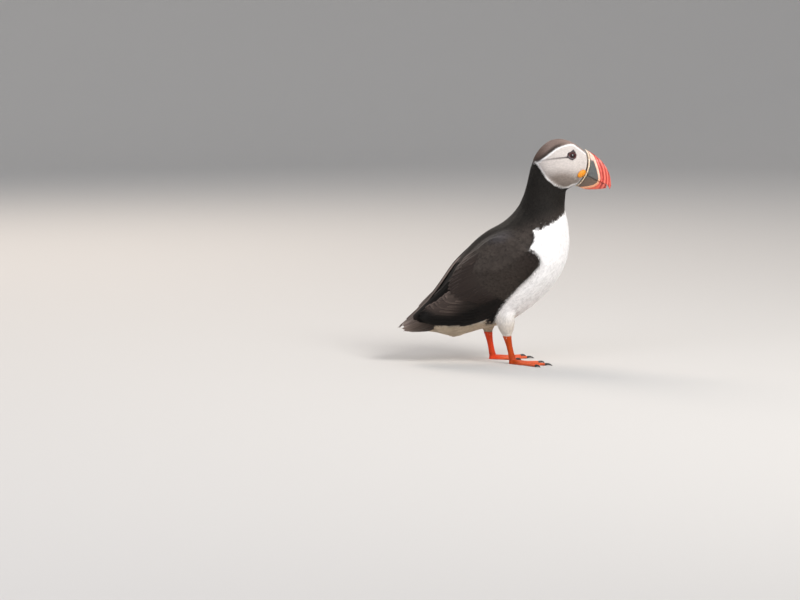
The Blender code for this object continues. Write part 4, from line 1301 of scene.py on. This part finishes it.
def build_wing_quills(skin, side_name, material):
    """Primaries and secondaries of one wing, stacked over its outer face."""
    colours, coat, _ = settings()
    side = SIDES[side_name]
    form, _ = form_of(["wing_" + side_name, "trunk", "tail"])
    tree, corners = skin_lookup(skin)
    rng = np.random.default_rng(coat.seed + 11 + side)
    sheaf = Sheaf()
    for row in WING_ROWS.values():
        marks = np.array(row["tips"], float)
        spots = np.linspace(0, len(marks) - 1, row["count"])
        tips = np.column_stack([np.interp(spots, range(len(marks)), marks[:, k]) for k in range(2)])
        if side > 0:
            tips = tips + np.array(FAR_WING_REACH) * row["far"]
        first, last = np.array(row["roots"], float)
        for k, tip in enumerate(tips):
            share = k / (len(tips) - 1)
            root = first + (last - first) * share
            tip = tip + rng.uniform(-TIP_SCATTER, TIP_SCATTER, 2)
            bow, wear = (low + (high - low) * share for low, high in (row["bow"], row["wear"]))
            lift = row["base"] + row["step"] * k + rng.uniform(-0.1, 0.1)
            places, outward = wing_quill(form, side, row, root, tip, bow, lift)
            fray(places, rng, depth=0.5)
            tint = wing_tint(colours, row, places, wear * rng.uniform(0.8, 1.1))
            home = root_place(tree, corners, places[STATIONS // 2, SHAFT].tolist())
            sheaf.add(places, outward, QUILL_THICKNESS, tint, rng.uniform(0.88, 1.08), home)
    if side_name == "left":
        add_crossed_quills(sheaf, tree, corners, rng)
    return sheaf.build(f"wing_quills_{side_name}", material)


def evened(table, rounds):
    """A quill's grid of values with its jumps smoothed away in both directions."""
    for _ in range(rounds):
        padded = np.pad(table, 1, "edge")
        beside = padded[:-2, 1:-1] + padded[2:, 1:-1] + padded[1:-1, :-2] + padded[1:-1, 2:]
        table = 0.5 * table + 0.125 * beside
    return table


def fray(places, rng, depth):
    """Wears the tip of a quill unevenly, by up to depth either way."""
    along = np.linspace(0, 1, len(places))
    heading = unit(places[-1] - places[-4])
    uneven = np.repeat(rng.uniform(-depth, depth, (len(ACROSS) + 1) // 2), 2)[: len(ACROSS)]
    places += heading[None] * (uneven[None, :] * eased((along - 0.75) / 0.25)[:, None])[:, :, None]


def add_crossed_quills(sheaf, tree, corners, rng):
    """The left wing's longest quills, laid lengthwise over the rump."""
    colours, _, _ = settings()
    form, _ = form_of(["trunk", "tail", "wing_left"])
    (ax, az), (bx, bz) = CROSSED_RUN
    run = unit(np.array((bx - ax, 0, bz - az)))
    out = np.array((run[2], 0, -run[0]))
    along = np.linspace(0, 1, STATIONS)
    half = CROSSED_HALF * outline_share(along, 0.22)
    for k, (tip_x, root_y, tip_y) in enumerate(CROSSED_QUILLS):
        length = (tip_x - ax) / run[0]
        places = np.empty((STATIONS, len(ACROSS), 3))
        for i in range(STATIONS):
            for j, across in enumerate(ACROSS):
                spot = np.array((ax, 0, az)) + run * length * along[i]
                spot[1] = root_y + (tip_y - root_y) * along[i] + across * half[i]
                hit = form.ray_cast(Vector(spot + out * 40), Vector(-out))[0] or Vector(spot)
                lift = (CROSSED_LIFT + CROSSED_STEP * k) * eased(along[i] / 0.3)
                height = lift - CROSSED_DEPTH - CROSSED_DROOP * eased((-across - 0.1) / 0.9)
                places[i, j] = np.array(hit) + out * height
        for axis in (0, 2):
            places[:, :, axis] = evened(places[:, :, axis], 2)
        fray(places, rng, depth=0.6)
        home = root_place(tree, corners, places[STATIONS // 2, SHAFT].tolist())
        outward = np.broadcast_to(out, places.shape)
        sheaf.add(places, outward, QUILL_THICKNESS, crossed_tint(colours), rng.uniform(0.9, 1.05), home)


def crossed_tint(colours):
    """A crossed quill's colour: worn, with a pale lower edge, clearest near its root, that is partly painted
    highlight.
    """
    along, across = quill_grid()
    lower_edge = eased((-0.1 - across) / 0.6) * eased((along - 0.1) / 0.1)
    # The pale edge: the worn fringe's own colour and a painted highlight along the back's outline.
    pale = lower_edge * (0.75 - 0.5 * eased((along - 0.35) / 0.3))
    tint = mixed(quill_tint(colours, 0.6), colours.fringe, pale)
    return mixed(tint, colours.mantle, eased((0.4 - along) / 0.25) * (across > -0.3))


def build_tail_quills(skin, material):
    """The tail fan, laid lengthwise round the tail from its lowest pair up to the middle pair on top."""
    colours, coat, _ = settings()
    form, _ = form_of(["tail", "trunk"])
    tree, corners = skin_lookup(skin)
    rng = np.random.default_rng(coat.seed + 5)
    sheaf = Sheaf()
    along = np.linspace(0, 1, STATIONS)
    grid_along, _ = quill_grid()
    half = TAIL_HALF_ANGLE * outline_share(along, 0.16)
    for k in range(TAIL_QUILLS - 1, -1, -1):
        for side in SIDES.values():
            share = k / (TAIL_QUILLS - 1)
            angle = side * (TAIL_FIRST + (TAIL_REACH - TAIL_FIRST) * share)
            tip = TAIL_TIP + 8 * share**2 + rng.uniform(-0.6, 1.2)
            places = np.empty((STATIONS, len(ACROSS), 3))
            outward = np.empty_like(places)
            for i in range(STATIONS):
                x = TAIL_ROOT + (tip - TAIL_ROOT) * along[i]
                core = np.interp(x, *TAIL_CORE)
                start = Vector((max(x, TAIL_END), 0, core))
                for j, across in enumerate(ACROSS):
                    turn = math.radians(angle + side * across * half[i])
                    ray = Vector((0, math.sin(turn), math.cos(turn)))
                    hit = form.ray_cast(start, ray)[0]
                    reach = (hit - start).length if hit else 5.0
                    lift = 1.0 - 0.5 * share + 0.35 * across * share
                    height = (lift + TAIL_DEPTH) * eased(along[i] / 0.4) - TAIL_DEPTH
                    places[i, j] = np.array((x, 0, core)) + np.array(ray) * (reach + height)
                    outward[i, j] = ray
            fray(places, rng, depth=2.2)
            tint = mixed(quill_tint(colours, rng.uniform(0.8, 1.1)), colours.worn, 0.3 + 0.4 * grid_along)
            tint = mixed(tint, colours.fringe, eased((grid_along - 0.7) / 0.3) * 0.35)
            home = root_place(tree, corners, places[STATIONS // 2, SHAFT].tolist())
            sheaf.add(places, outward, QUILL_THICKNESS, tint, rng.uniform(0.85, 1.05), home)
    return sheaf.build("tail_quills", material)


# The bill

BILL_VOXEL = 0.27
# The raised chevron behind the grooves, and the grooves from back to front, as (x, z) in the side profile.
CHEVRON = (
    (72, 226), (84.2, 212.6), (88.8, 208.7), (91.1, 203.5), (93.4, 196.3), (95, 190), (95.6, 185.5),
    (93.8, 181), (90, 178.6), (84.5, 177.3), (76.5, 176.6), (70, 178),
)
GROOVES = (
    (
        (82, 226), (92.6, 210.5), (95.3, 204.8), (98.8, 195.7), (99.9, 187), (99, 181), (96.5, 176.5),
        (90, 170),
    ),
    (
        (88, 226), (98.3, 205), (100.5, 199.6), (102.6, 191.8), (103.2, 185), (102.6, 180), (100.5, 175.5),
        (95, 168),
    ),
    ((96, 222), (103.4, 199), (105, 193), (105.9, 188), (106, 183), (105.4, 178), (103, 172)),
)
BEHIND_BILL = 40  # x of a line behind the whole bill
CHEVRON_WIDTH, CHEVRON_RISE = 0.95, 0.42
GROOVE_WIDTH, GROOVE_DEPTH = 0.2, 0.36  # the width as a share of the way to the next groove
PATCH_HOLLOW = 0.25  # how far the patch behind the chevron is sunk
LIP_TOP = 193  # the cutting edges of the mandibles are drawn towards each other below this
LOWER_LIP, UPPER_LIP = 0.45, 0.1
BILL_CORNER = (83.2, 190)
BILL_COLOURS = {
    name: linear(code)
    for name, code in (
        ("patch", "#5b5d5c"), ("low_patch", "#6a584a"), ("cream", "#f4d2c6"), ("chevron", "#f6cdb6"),
        ("low_chevron", "#f0a87e"), ("dark_red", "#b4352b"), ("red", "#dc4f42"), ("ridge", "#f0806c"),
        ("tip", "#c33c34"), ("low_red", "#e5654a"), ("groove", "#a3312b"), ("corner", "#3a211d"),
    )
}


def outward_place(at):
    """How far out on the bill each profile place lies, and how far past the chevron.

    The first is under 0 behind the chevron, in millimetres, then 0 to 4 over the ridges between the grooves.
    """
    gaps = []
    for line in (CHEVRON, *GROOVES):
        behind = (*line, (BEHIND_BILL, line[-1][1]), (BEHIND_BILL, line[0][1]))
        gaps.append(-inside(at, behind))
    place = gaps[0].copy()
    for k, (near, far) in enumerate(zip(gaps, gaps[1:])):
        between = (near >= 0) & (place >= 0)
        share = near / np.maximum(near - np.minimum(far, 0), 1e-6)
        place = np.where(between, k + np.clip(share, 0, 1), place)
    beyond = gaps[-1] >= 0
    return np.where(beyond, 3 + np.clip(gaps[-1] / 2.5, 0, 1), place), gaps[0]


def bill_tint(at, place, gap, cut, lower):
    """Red ridges with darker grooves before the chevron, its pale band, and the grey patch behind it."""
    x, z = at[:, 0], at[:, 1]
    c = BILL_COLOURS
    phase = place - np.floor(place)
    colour = np.tile(np.array(c["red"]), (len(at), 1))
    colour = mixed(colour, c["ridge"], (place > 0.55) * np.exp(-(((phase - 0.5) / 0.24) ** 2)) * 0.85)
    colour = mixed(colour, c["dark_red"], eased(1 - np.abs(gap - 1.8) / 1.3) * 0.9)
    colour = mixed(colour, c["groove"], cut / GROOVE_DEPTH)
    colour = mixed(colour, c["tip"], eased((place - 3.2) / 0.6) * 0.7)
    patch = np.tile(np.array(c["patch"]), (len(at), 1))
    if lower:
        colour = mixed(colour, c["low_red"], eased((98 - x) / 5))
        patch = mixed(patch, c["low_patch"], eased((189 - z) / 4))
    else:
        patch = mixed(patch, c["low_patch"], eased((190 - z) / 6) * 0.4)
        patch = mixed(patch, c["cream"], eased((z - 204.5 + 0.35 * (x - 84)) / 3))
    colour = np.where((gap < 0)[:, None], patch, colour)
    band = mixed(np.tile(np.array(c["chevron"]), (len(at), 1)), c["low_chevron"], eased((192 - z) / 12))
    amount = eased((1.25 - np.abs(gap)) / 0.5)
    colour = colour + (band - colour) * amount[:, None]
    corner_x, corner_z = BILL_CORNER
    corner = np.exp(-(((x - corner_x) / 1.6) ** 2) - ((z - corner_z) / 1.4) ** 2)
    return mixed(colour, c["corner"], corner)


def build_bill_half(name, material):
    """One mandible: grooved horn with its ridge, patch and bands."""
    lower = name.endswith("lower")
    obj = fine_copy(name + "_horn", [name], 0.0, BILL_VOXEL, rounds=4)
    mesh = obj.data
    points, normals = points_of(mesh), normals_of(mesh)
    at = profile(points)
    place, gap = outward_place(at)
    side = eased((np.abs(normals[:, 1]) - 0.15) / 0.4)
    ridge = np.exp(-((gap / CHEVRON_WIDTH) ** 2)) * CHEVRON_RISE
    grooves = sum(np.exp(-(((place - k) / GROOVE_WIDTH) ** 2)) for k in range(1, len(GROOVES) + 1))
    cut = grooves * (gap > 0.5) * GROOVE_DEPTH
    hollow = eased((-gap - 1) / 3) * PATCH_HOLLOW
    grain = ripple(points, 1.2) * 0.04
    depth = (ridge - cut - hollow + grain) * np.maximum(side, 0.25)
    points = points + normals * depth[:, None]
    towards = 1 if lower else -1
    edge = np.clip(towards * normals[:, 2], 0, 1) * (at[:, 1] < LIP_TOP) * (LOWER_LIP if lower else UPPER_LIP)
    points[:, 2] += towards * edge
    place_points(mesh, points)
    store_tint(mesh, "tint", bill_tint(at, place, gap, cut, lower))
    mesh.materials.append(material)
    finish(obj, "bill_horn", name)


def settled(points, form, share):
    """Points brought down to this share of their height above a surface, and a little way into it."""
    laid_down = []
    for point in points.tolist():
        hit, normal, _, _ = form.find_nearest(point)
        height = (Vector(point) - hit).dot(normal)
        laid_down.append(hit + normal * (height * share - 0.1))
    return np.array(laid_down)


def build_horn_piece(name, node, codes, pits, slot, material, voxel=0.3, swell=0.0, rounds=3):
    """A small horn or skin piece over its CAD node, pitted or wrinkled.

    codes are the colours of what stands proud and of the hollows, and pits are the hollows' size and depth.
    """
    obj = fine_copy(name, [node], swell, voxel, rounds)
    mesh = obj.data
    points, normals = points_of(mesh), normals_of(mesh)
    if "plate" in node:
        points = settled(points, form_of(["head"])[0], 0.4)
    pit_size, pit_depth = pits
    uneven = ripple(points, pit_size) * pit_depth
    place_points(mesh, points + normals * uneven[:, None])
    proud, hollow = (linear(code) for code in codes)
    tint = np.tile(np.array(proud), (len(points), 1))
    store_tint(mesh, "tint", mixed(tint, hollow, eased(0.5 - uneven / (2 * pit_depth))))
    mesh.materials.append(material)
    finish(obj, slot, node)


# Eyes

IRIS, PUPIL = linear("#3b1a17"), 1.75
IRIS_RIM = 2.95  # beyond this the ball is dark
IRIS_SPOKES = 17
PUPIL_BLACK = (0.002, 0.002, 0.002)
RIM_BLACK = (0.004, 0.002, 0.002)

# The swollen ring and the two lower folds of the lids round it: middle and thickness across, height over the
# ball's middle and thickness up, and the colours of crest and root. The root's darker colour is painted shade
# where each fold sinks in.
EYE_FOLDS = (
    (3.3, 0.42, 3.72, 0.34, "#5c211d", "#2b1010"),
    (4.05, 0.42, 3.05, 0.42, "#3a1e1c", "#1f0f0e"),
    (4.75, 0.5, 2.35, 0.5, "#33201f", "#1f1211"),
)
FOLD_ROUNDS, FOLD_SIDES = 72, 14


def eye_frame(side_name):
    """Centre of an eye and the way it looks, square to the face round it."""
    low, high = (np.array(corner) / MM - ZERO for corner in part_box("eye_" + side_name))
    centre = (low + high) / 2
    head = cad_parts["head"].data
    spots = np.array([p.center for p in head.polygons]) / MM - ZERO - centre
    areas = np.array([p.area for p in head.polygons])
    away = np.linalg.norm(spots, axis=1)
    near = (away > EYE_RADIUS + 0.6) & (away < EYE_RADIUS + 4)
    return centre, unit((spots[near] * areas[near, None]).sum(0))


def turned_to(look):
    """Three axes with the third along look."""
    third = unit(look)
    first = unit(np.cross((0, 0, 1), third))
    return np.column_stack([first, np.cross(third, first), third])


def build_eye(side_name, material):
    """The eyeball, with its pupil, iris and rim told by distance from the way it looks."""
    centre, look = eye_frame(side_name)
    ball = bmesh.new()
    bmesh.ops.create_uvsphere(ball, u_segments=48, v_segments=40, radius=EYE_RADIUS)
    mesh = bpy.data.meshes.new("eyeball_" + side_name)
    ball.to_mesh(mesh)
    ball.free()
    local = np.array([v.co for v in mesh.vertices])
    place_points(mesh, local @ turned_to(look).T + centre)
    reach = np.hypot(local[:, 0], local[:, 1]) + 9 * (local[:, 2] < 0)
    ray = 0.85 + 0.25 * np.sin(np.arctan2(local[:, 1], local[:, 0]) * IRIS_SPOKES)
    tint = np.tile(np.array(IRIS), (len(local), 1)) * ray[:, None]
    tint = mixed(tint, PUPIL_BLACK, soft_edge(PUPIL - reach, 0.25))
    tint = mixed(tint, RIM_BLACK, soft_edge(reach - IRIS_RIM, 0.4))
    store_tint(mesh, "tint", tint)
    mesh.materials.append(material)
    finish(add_object(mesh.name, mesh), "eye", "eye_" + side_name)


def build_orbital_ring(side_name, material):
    """The bare skin round the eye: an uneven swollen red ring against the ball, and the folds of the lids."""
    centre, look = eye_frame(side_name)
    axes = turned_to(look)
    rounds, tube = FOLD_ROUNDS, FOLD_SIDES
    points, faces, tint = [], [], []
    for across, thick, rise, high, light, dark in EYE_FOLDS:
        start = len(points)
        for i in range(rounds):
            angle = 2 * math.pi * i / rounds
            swell = 1 + 0.1 * math.sin(angle * 9 + across) + 0.06 * math.sin(angle * 23 + 1)
            squash = 0.93 + 0.07 * math.cos(2 * angle)
            for j in range(tube):
                turn = 2 * math.pi * j / tube
                reach = across + thick * swell * math.cos(turn)
                height = rise + high * swell * math.sin(turn)
                local = np.array([reach * math.cos(angle), reach * math.sin(angle) * squash, height])
                points.append(centre + axes @ local)
                n, m = (i + 1) % rounds, (j + 1) % tube
                faces.append(tuple(start + a * tube + b for a, b in ((i, j), (n, j), (n, m), (i, m))))
                # Painted shade: each fold darkens from its crest to its root.
                deep = np.array([0.5 - 0.5 * math.sin(turn)])
                tint.append(mixed(np.array([linear(light)]), linear(dark), deep)[0])
    mesh = bpy.data.meshes.new("orbital_ring_" + side_name)
    mesh.from_pydata([(0, 0, 0)] * len(points), [], faces)
    place_points(mesh, np.array(points))
    store_tint(mesh, "tint", np.array(tint))
    mesh.materials.append(material)
    finish(add_object(mesh.name, mesh), "rosette_skin")


# Legs

LEG_VOXEL = 0.5
LEG_SWELL = 0.15  # closes the ankle's joint, and is taken back after
FEET = {"left": (-13.0, 20.0), "right": (5.0, -20.0)}  # x and y of each foot's ankle
ANKLE_HEIGHT = 6
SOLE_HEIGHT = 0.6  # no scales stand out below this
SHANK_SCUTE, TOE_SCUTE = 2.3, 2.1  # lengths of the cross scales
SCUTE_RISE = 0.3
# near and far tint one orange skin apart: painted light and shade for how light falls on each leg.
LEG_COLOURS = {
    name: linear(code)
    for name, code in (
        ("near", "#bf4506"), ("far", "#ee481a"), ("web", "#e9683c"), ("joint", "#b93f14"),
        ("sole", "#a94d26"),
    )
}
CLAW_SET_BACK = 0.9


def build_legs():
    """Bare shanks and webbed feet with cross scales down their fronts and along their toes."""
    obj = fine_copy("legs", LEG_NODES, LEG_SWELL, LEG_VOXEL, rounds=3)
    mesh = obj.data
    points, normals = points_of(mesh), normals_of(mesh)
    points = points - normals * LEG_SWELL
    on_left = points[:, 1] > 0
    ankle_x, ankle_y = (np.where(on_left, left, right) for left, right in zip(FEET["left"], FEET["right"]))
    run = np.hypot(points[:, 0] - ankle_x, points[:, 1] - ankle_y)
    low = eased((9 - points[:, 2]) / 5)
    phase = (1 - low) * points[:, 2] / SHANK_SCUTE + low * run / TOE_SCUTE
    front = np.clip(normals[:, 0] * (1 - low) + normals[:, 2] * low, 0, 1)
    scute = np.abs(np.sin(np.pi * phase)) ** 0.6
    raised = (scute - 0.7) * SCUTE_RISE * front * (points[:, 2] > SOLE_HEIGHT)
    place_points(mesh, points + normals * raised[:, None])
    c = LEG_COLOURS
    # Painted light and shade: the near and far legs differ only in how light falls on them.
    tint = mixed(np.tile(np.array(c["near"]), (len(points), 1)), c["far"], on_left)
    tint = mixed(tint, c["web"], low * eased((run - 6) / 10) * 0.9)
    tint = mixed(tint, c["joint"], eased(1 - np.abs(points[:, 2] - ANKLE_HEIGHT) / 4) * 0.5)
    tint = tint * (0.68 + 0.38 * scute)[:, None] ** front[:, None]
    tint = mixed(tint, c["sole"], eased((-normals[:, 2] - 0.3) / 0.4))
    store_tint(mesh, "tint", tint)
    return obj


def tuck_claws(mesh, side_name):
    """Moves each claw a little way back into its toe."""
    low, high = (np.array(corner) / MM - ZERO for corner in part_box("shank_" + side_name))
    ankle = (low + high) / 2
    points = points_of(mesh)
    away = points - ankle
    heading = unit(away[:, :2])
    for toe in TOES:
        low, high = (np.array(corner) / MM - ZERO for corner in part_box(f"claw_{side_name}_{toe}"))
        own = ((points > low - 1) & (points < high + 1)).all(1)
        heading[own] = unit(((low + high) / 2 - ankle)[:2])
    points[:, :2] -= heading * CLAW_SET_BACK
    place_points(mesh, points)


def join(parts):
    """Joins objects into the first of them."""
    bpy.ops.object.select_all(action="DESELECT")
    for obj in parts:
        obj.select_set(True)
    bpy.context.view_layer.objects.active = parts[0]
    bpy.ops.object.join()
    return parts[0]


def unwrap(obj):
    """The OFBake map, flat patches of the skin's own shape, and its corners' places kept for the feathers."""
    bpy.ops.object.select_all(action="DESELECT")
    obj.select_set(True)
    bpy.context.view_layer.objects.active = obj
    mesh = obj.data
    for layer in list(mesh.uv_layers):
        mesh.uv_layers.remove(layer)
    mesh.uv_layers.new(name="OFBake")
    bpy.ops.object.mode_set(mode="EDIT")
    bpy.ops.mesh.select_all(action="SELECT")
    bpy.ops.uv.smart_project(angle_limit=math.radians(66), island_margin=0.004)
    bpy.ops.object.mode_set(mode="OBJECT")
    uv = np.empty(len(mesh.loops) * 2, np.float32)
    mesh.uv_layers["OFBake"].uv.foreach_get("vector", uv)
    uv = uv.reshape(-1, 2)
    root = mesh.attributes.new("root", "FLOAT_VECTOR", "CORNER")
    root.data.foreach_set("vector", np.column_stack([uv, np.zeros(len(uv))]).astype(np.float32).ravel())


# Operators


class PUFFIN_OT_skin(bpy.types.Operator):
    """Build the skin that takes the place of the flesh, from head to toes"""

    bl_idname = "puffin.skin"
    bl_label = "Skin"

    def execute(self, context):
        body = build_skin()
        body.data.materials.append(skin_material())
        legs = build_legs()
        legs.data.materials.append(leg_material())
        skin = join([body, legs])
        unwrap(skin)
        finish(skin, "white_feathers", *BODY_NODES, *LEG_NODES)
        return {"FINISHED"}


class PUFFIN_OT_plumage(bpy.types.Operator):
    """Grow the small feathers over the skin, tract by tract"""

    bl_idname = "puffin.plumage"
    bl_label = "Plumage"

    def execute(self, context):
        skin = bpy.data.objects["skin"]
        tree = plumage_tree()
        pale = feather_material(
            "pale_body_feather", barb_count=7, barb_depth=0.02, roughness=0.75, sheen=0.1, root_light=0.9,
            tip_light=1.02,
        )
        dark = feather_material(
            "dark_body_feather", barb_count=9, barb_depth=0.03, roughness=0.62, sheen=0.03, root_light=0.6,
            tip_light=1.9,
        )
        for tract, size in TRACTS.items():
            rng = np.random.default_rng(VANE_SEED)
            vanes = bpy.data.collections.new("vanes_" + tract)
            kinds = []
            for k in range(VANE_KINDS):
                name = f"vane_{tract}_{k}"
                kinds.append(bpy.data.objects.new(name, vane_mesh(name, size["split"], rng)))
                vanes.objects.link(kinds[-1])
            piece = grow_plumage(skin, tract, size, tree, vanes, dark if tract in DARK_TRACTS else pale)
            for kind in kinds:
                mesh = kind.data
                bpy.data.objects.remove(kind)
                bpy.data.meshes.remove(mesh)
            bpy.data.collections.remove(vanes)
            finish(piece, SLOTS[tract])
        bpy.data.node_groups.remove(tree)
        return {"FINISHED"}


class PUFFIN_OT_quills(bpy.types.Operator):
    """Lay the wing and tail quills"""

    bl_idname = "puffin.quills"
    bl_label = "Quills"

    def execute(self, context):
        skin = bpy.data.objects["skin"]
        material = feather_material(
            "flight_quill", barb_count=48, barb_depth=0.06, roughness=0.55, sheen=0.02, root_light=0.8,
            tip_light=1.1,
        )
        for side_name in SIDES:
            finish(build_wing_quills(skin, side_name, material), "black_feathers")
        finish(build_tail_quills(skin, material), "black_feathers")
        return {"FINISHED"}


class PUFFIN_OT_bill(bpy.types.Operator):
    """Build the grooved bill and its rim"""

    bl_idname = "puffin.bill"
    bl_label = "Bill"

    def execute(self, context):
        horn = horn_material("waxy_bill_horn", roughness=0.34, streak=0.08)
        for name in ("bill_upper", "bill_lower"):
            build_bill_half(name, horn)
        rim = horn_material("pitted_rim_horn", roughness=0.5, streak=0.12)
        build_horn_piece("rim", "bill_rim", ("#f6e6d0", "#d9bf9d"), (0.9, 0.09), "rim_horn", rim)
        return {"FINISHED"}


class PUFFIN_OT_face(bpy.types.Operator):
    """Set the eyes, their rings and horn plates, and the rosettes at the corners of the bill"""

    bl_idname = "puffin.face"
    bl_label = "Eyes and face"

    def execute(self, context):
        wet = eye_material()
        ring = bare_skin_material("orbital_skin", roughness=0.5)
        plate = horn_material("dull_plate_horn", roughness=0.55, streak=0.15)
        rosette = bare_skin_material("wrinkled_rosette_skin", roughness=0.48)
        for side_name in SIDES:
            build_eye(side_name, wet)
            build_orbital_ring(side_name, ring)
            for kind in ("brow", "lid"):
                build_horn_piece(
                    f"{kind}_horn_{side_name}", f"{kind}_plate_{side_name}", ("#2a1a1d", "#3f2d33"),
                    (0.8, 0.05), "plate_horn", plate, voxel=0.22, swell=0.5, rounds=30,
                )
            build_horn_piece(
                f"rosette_{side_name}", f"gape_{side_name}", ("#f0a31e", "#dd7a10"), (0.6, 0.13),
                "rosette_skin", rosette, voxel=0.25, swell=0.35,
            )
        return {"FINISHED"}


class PUFFIN_OT_claws(bpy.types.Operator):
    """Build the claws"""

    bl_idname = "puffin.claws"
    bl_label = "Claws"

    def execute(self, context):
        material = horn_material("black_claw_horn", roughness=0.42, streak=0.2)
        for side_name in SIDES:
            nodes = [f"claw_{side_name}_{toe}" for toe in TOES]
            obj = fine_copy("claws_" + side_name, nodes, swell=0.12, voxel=0.26, rounds=2)
            tuck_claws(obj.data, side_name)
            store_tint(obj.data, "tint", np.tile(np.array(linear("#2a2421")), (len(obj.data.vertices), 1)))
            obj.data.materials.append(material)
            finish(obj, "claw_horn", *nodes)
        return {"FINISHED"}


# The stage, in metres

SWEEP_FLOOR, SWEEP_CURVE, SWEEP_HEIGHT = 3.4, 1.2, 2.4
SWEEP_ROUNDS = 96
AIM = Vector((0.0, 0.0, 0.11))  # the middle of the bird
SENSOR_WIDTH = 36  # millimetres
FRAME_MIDDLE = (-106.6, 63.1)  # what the middle of the frame shows in the side profile, in millimetres
# Name, place, size, power, spread in degrees and colour of each soft light.
LIGHTS = (
    ("key", (1.3, -1.3, 1.7), 1.1, 16, 100, "#fffefc"),
    ("fill", (-1.4, -1.7, 0.9), 1.6, 14, 180, "#eff3ff"),
    ("low", (1.5, -1.6, 0.25), 1.0, 2.5, 180, "#ffffff"),
    ("back", (-0.9, 1.6, 1.6), 1.2, 24, 180, "#fff1e4"),
)
WORLD_COLOUR, WORLD_STRENGTH = "#dde0e6", 0.82


def build_sweep():
    """A pale floor that curves up into a low round wall on every side, well behind the camera."""
    turn = [math.radians(a) for a in range(0, 91, 9)]
    curve = [(SWEEP_FLOOR + SWEEP_CURVE * math.sin(a), SWEEP_CURVE * (1 - math.cos(a))) for a in turn]
    outline = [(0.001, 0), *curve, (SWEEP_FLOOR + SWEEP_CURVE, SWEEP_HEIGHT)]
    rounds = SWEEP_ROUNDS
    around = [2 * math.pi * k / rounds for k in range(rounds)]
    points = [(r * math.cos(angle), r * math.sin(angle), z) for r, z in outline for angle in around]
    faces = [tuple(range(rounds))]
    for i in range(len(outline) - 1):
        for k in range(rounds):
            n = (k + 1) % rounds
            faces.append((i * rounds + k, (i + 1) * rounds + k, (i + 1) * rounds + n, i * rounds + n))
    mesh = bpy.data.meshes.new("floor")
    mesh.from_pydata(points, [], faces)
    return add_object("floor", mesh)


def add_lights(scene):
    """Soft round lights, all turned to the bird."""
    for name, place, size, power, spread_angle, code in LIGHTS:
        lamp = bpy.data.lights.new(name, "AREA")
        lamp.shape = "DISK"
        lamp.size = size
        lamp.energy = power
        lamp.color = linear(code)
        lamp.spread = math.radians(spread_angle)
        light = bpy.data.objects.new(name, lamp)
        light.location = place
        light.rotation_euler = (AIM - light.location).to_track_quat("-Z", "Y").to_euler()
        scene.collection.objects.link(light)


def add_camera(scene, stage):
    """The camera, level with FRAME_MIDDLE's place in the side profile and turned square to it."""
    lens = bpy.data.cameras.new("camera")
    lens.lens = stage.lens
    lens.sensor_width = SENSOR_WIDTH
    lens.clip_start = 0.05
    lens.clip_end = 50
    camera = bpy.data.objects.new("camera", lens)
    tilt = stage.elevation
    middle = np.array([FRAME_MIDDLE[0], 0.0, FRAME_MIDDLE[1] / math.cos(tilt)]) + ZERO * (1, 0, 0)
    back = Vector((0, -math.cos(tilt), math.sin(tilt)))
    camera.location = Vector(middle * MM) + back * stage.distance
    camera.rotation_euler = (-back).to_track_quat("-Z", "Y").to_euler()
    scene.collection.objects.link(camera)
    scene.camera = camera


class PUFFIN_OT_stage(bpy.types.Operator):
    """Set the pale floor, the soft lights and the camera"""

    bl_idname = "puffin.stage"
    bl_label = "Stage"

    def execute(self, context):
        _, _, stage = settings()
        scene = context.scene
        floor = build_sweep()
        material, _, surface = new_material("pale_board", Roughness=0.8)
        surface.inputs["Base Color"].default_value = (*linear("#c8c5c1"), 1)
        floor.data.materials.append(material)
        world = bpy.data.worlds.new("studio")
        world.use_nodes = True
        background = world.node_tree.nodes["Background"]
        background.inputs["Color"].default_value = (*linear(WORLD_COLOUR), 1)
        background.inputs["Strength"].default_value = WORLD_STRENGTH
        scene.world = world
        add_lights(scene)
        add_camera(scene, stage)
        scene.view_settings.view_transform = "Standard"
        return {"FINISHED"}


class PUFFIN_PT_sizes(bpy.types.Panel):
    """Sizes and colours of the puffin, and its pieces in order"""

    bl_label = "Puffin"
    bl_space_type = "VIEW_3D"
    bl_region_type = "UI"
    bl_category = "Puffin"

    def draw(self, context):
        for group in settings():
            for key in group.bl_rna.properties.keys():
                if key not in ("rna_type", "name"):
                    self.layout.prop(group, key)
        for operator in OPERATORS:
            self.layout.operator(operator.bl_idname)


OPERATORS = (
    PUFFIN_OT_skin, PUFFIN_OT_plumage, PUFFIN_OT_quills, PUFFIN_OT_bill, PUFFIN_OT_face, PUFFIN_OT_claws,
    PUFFIN_OT_stage,
)
CLASSES = (PuffinColours, PuffinCoat, PuffinStage, *OPERATORS, PUFFIN_PT_sizes)


def register():
    for cls in CLASSES:
        bpy.utils.register_class(cls)
    bpy.types.Scene.puffin_colours = PointerProperty(type=PuffinColours)
    bpy.types.Scene.puffin_coat = PointerProperty(type=PuffinCoat)
    bpy.types.Scene.puffin_stage = PointerProperty(type=PuffinStage)


def unregister():
    for name in ("puffin_colours", "puffin_coat", "puffin_stage"):
        delattr(bpy.types.Scene, name)
    for cls in reversed(CLASSES):
        bpy.utils.unregister_class(cls)


def main():
    register()
    for operator in OPERATORS:
        group, name = operator.bl_idname.split(".")
        getattr(getattr(bpy.ops, group), name)()


if __name__ == "__main__":
    main()
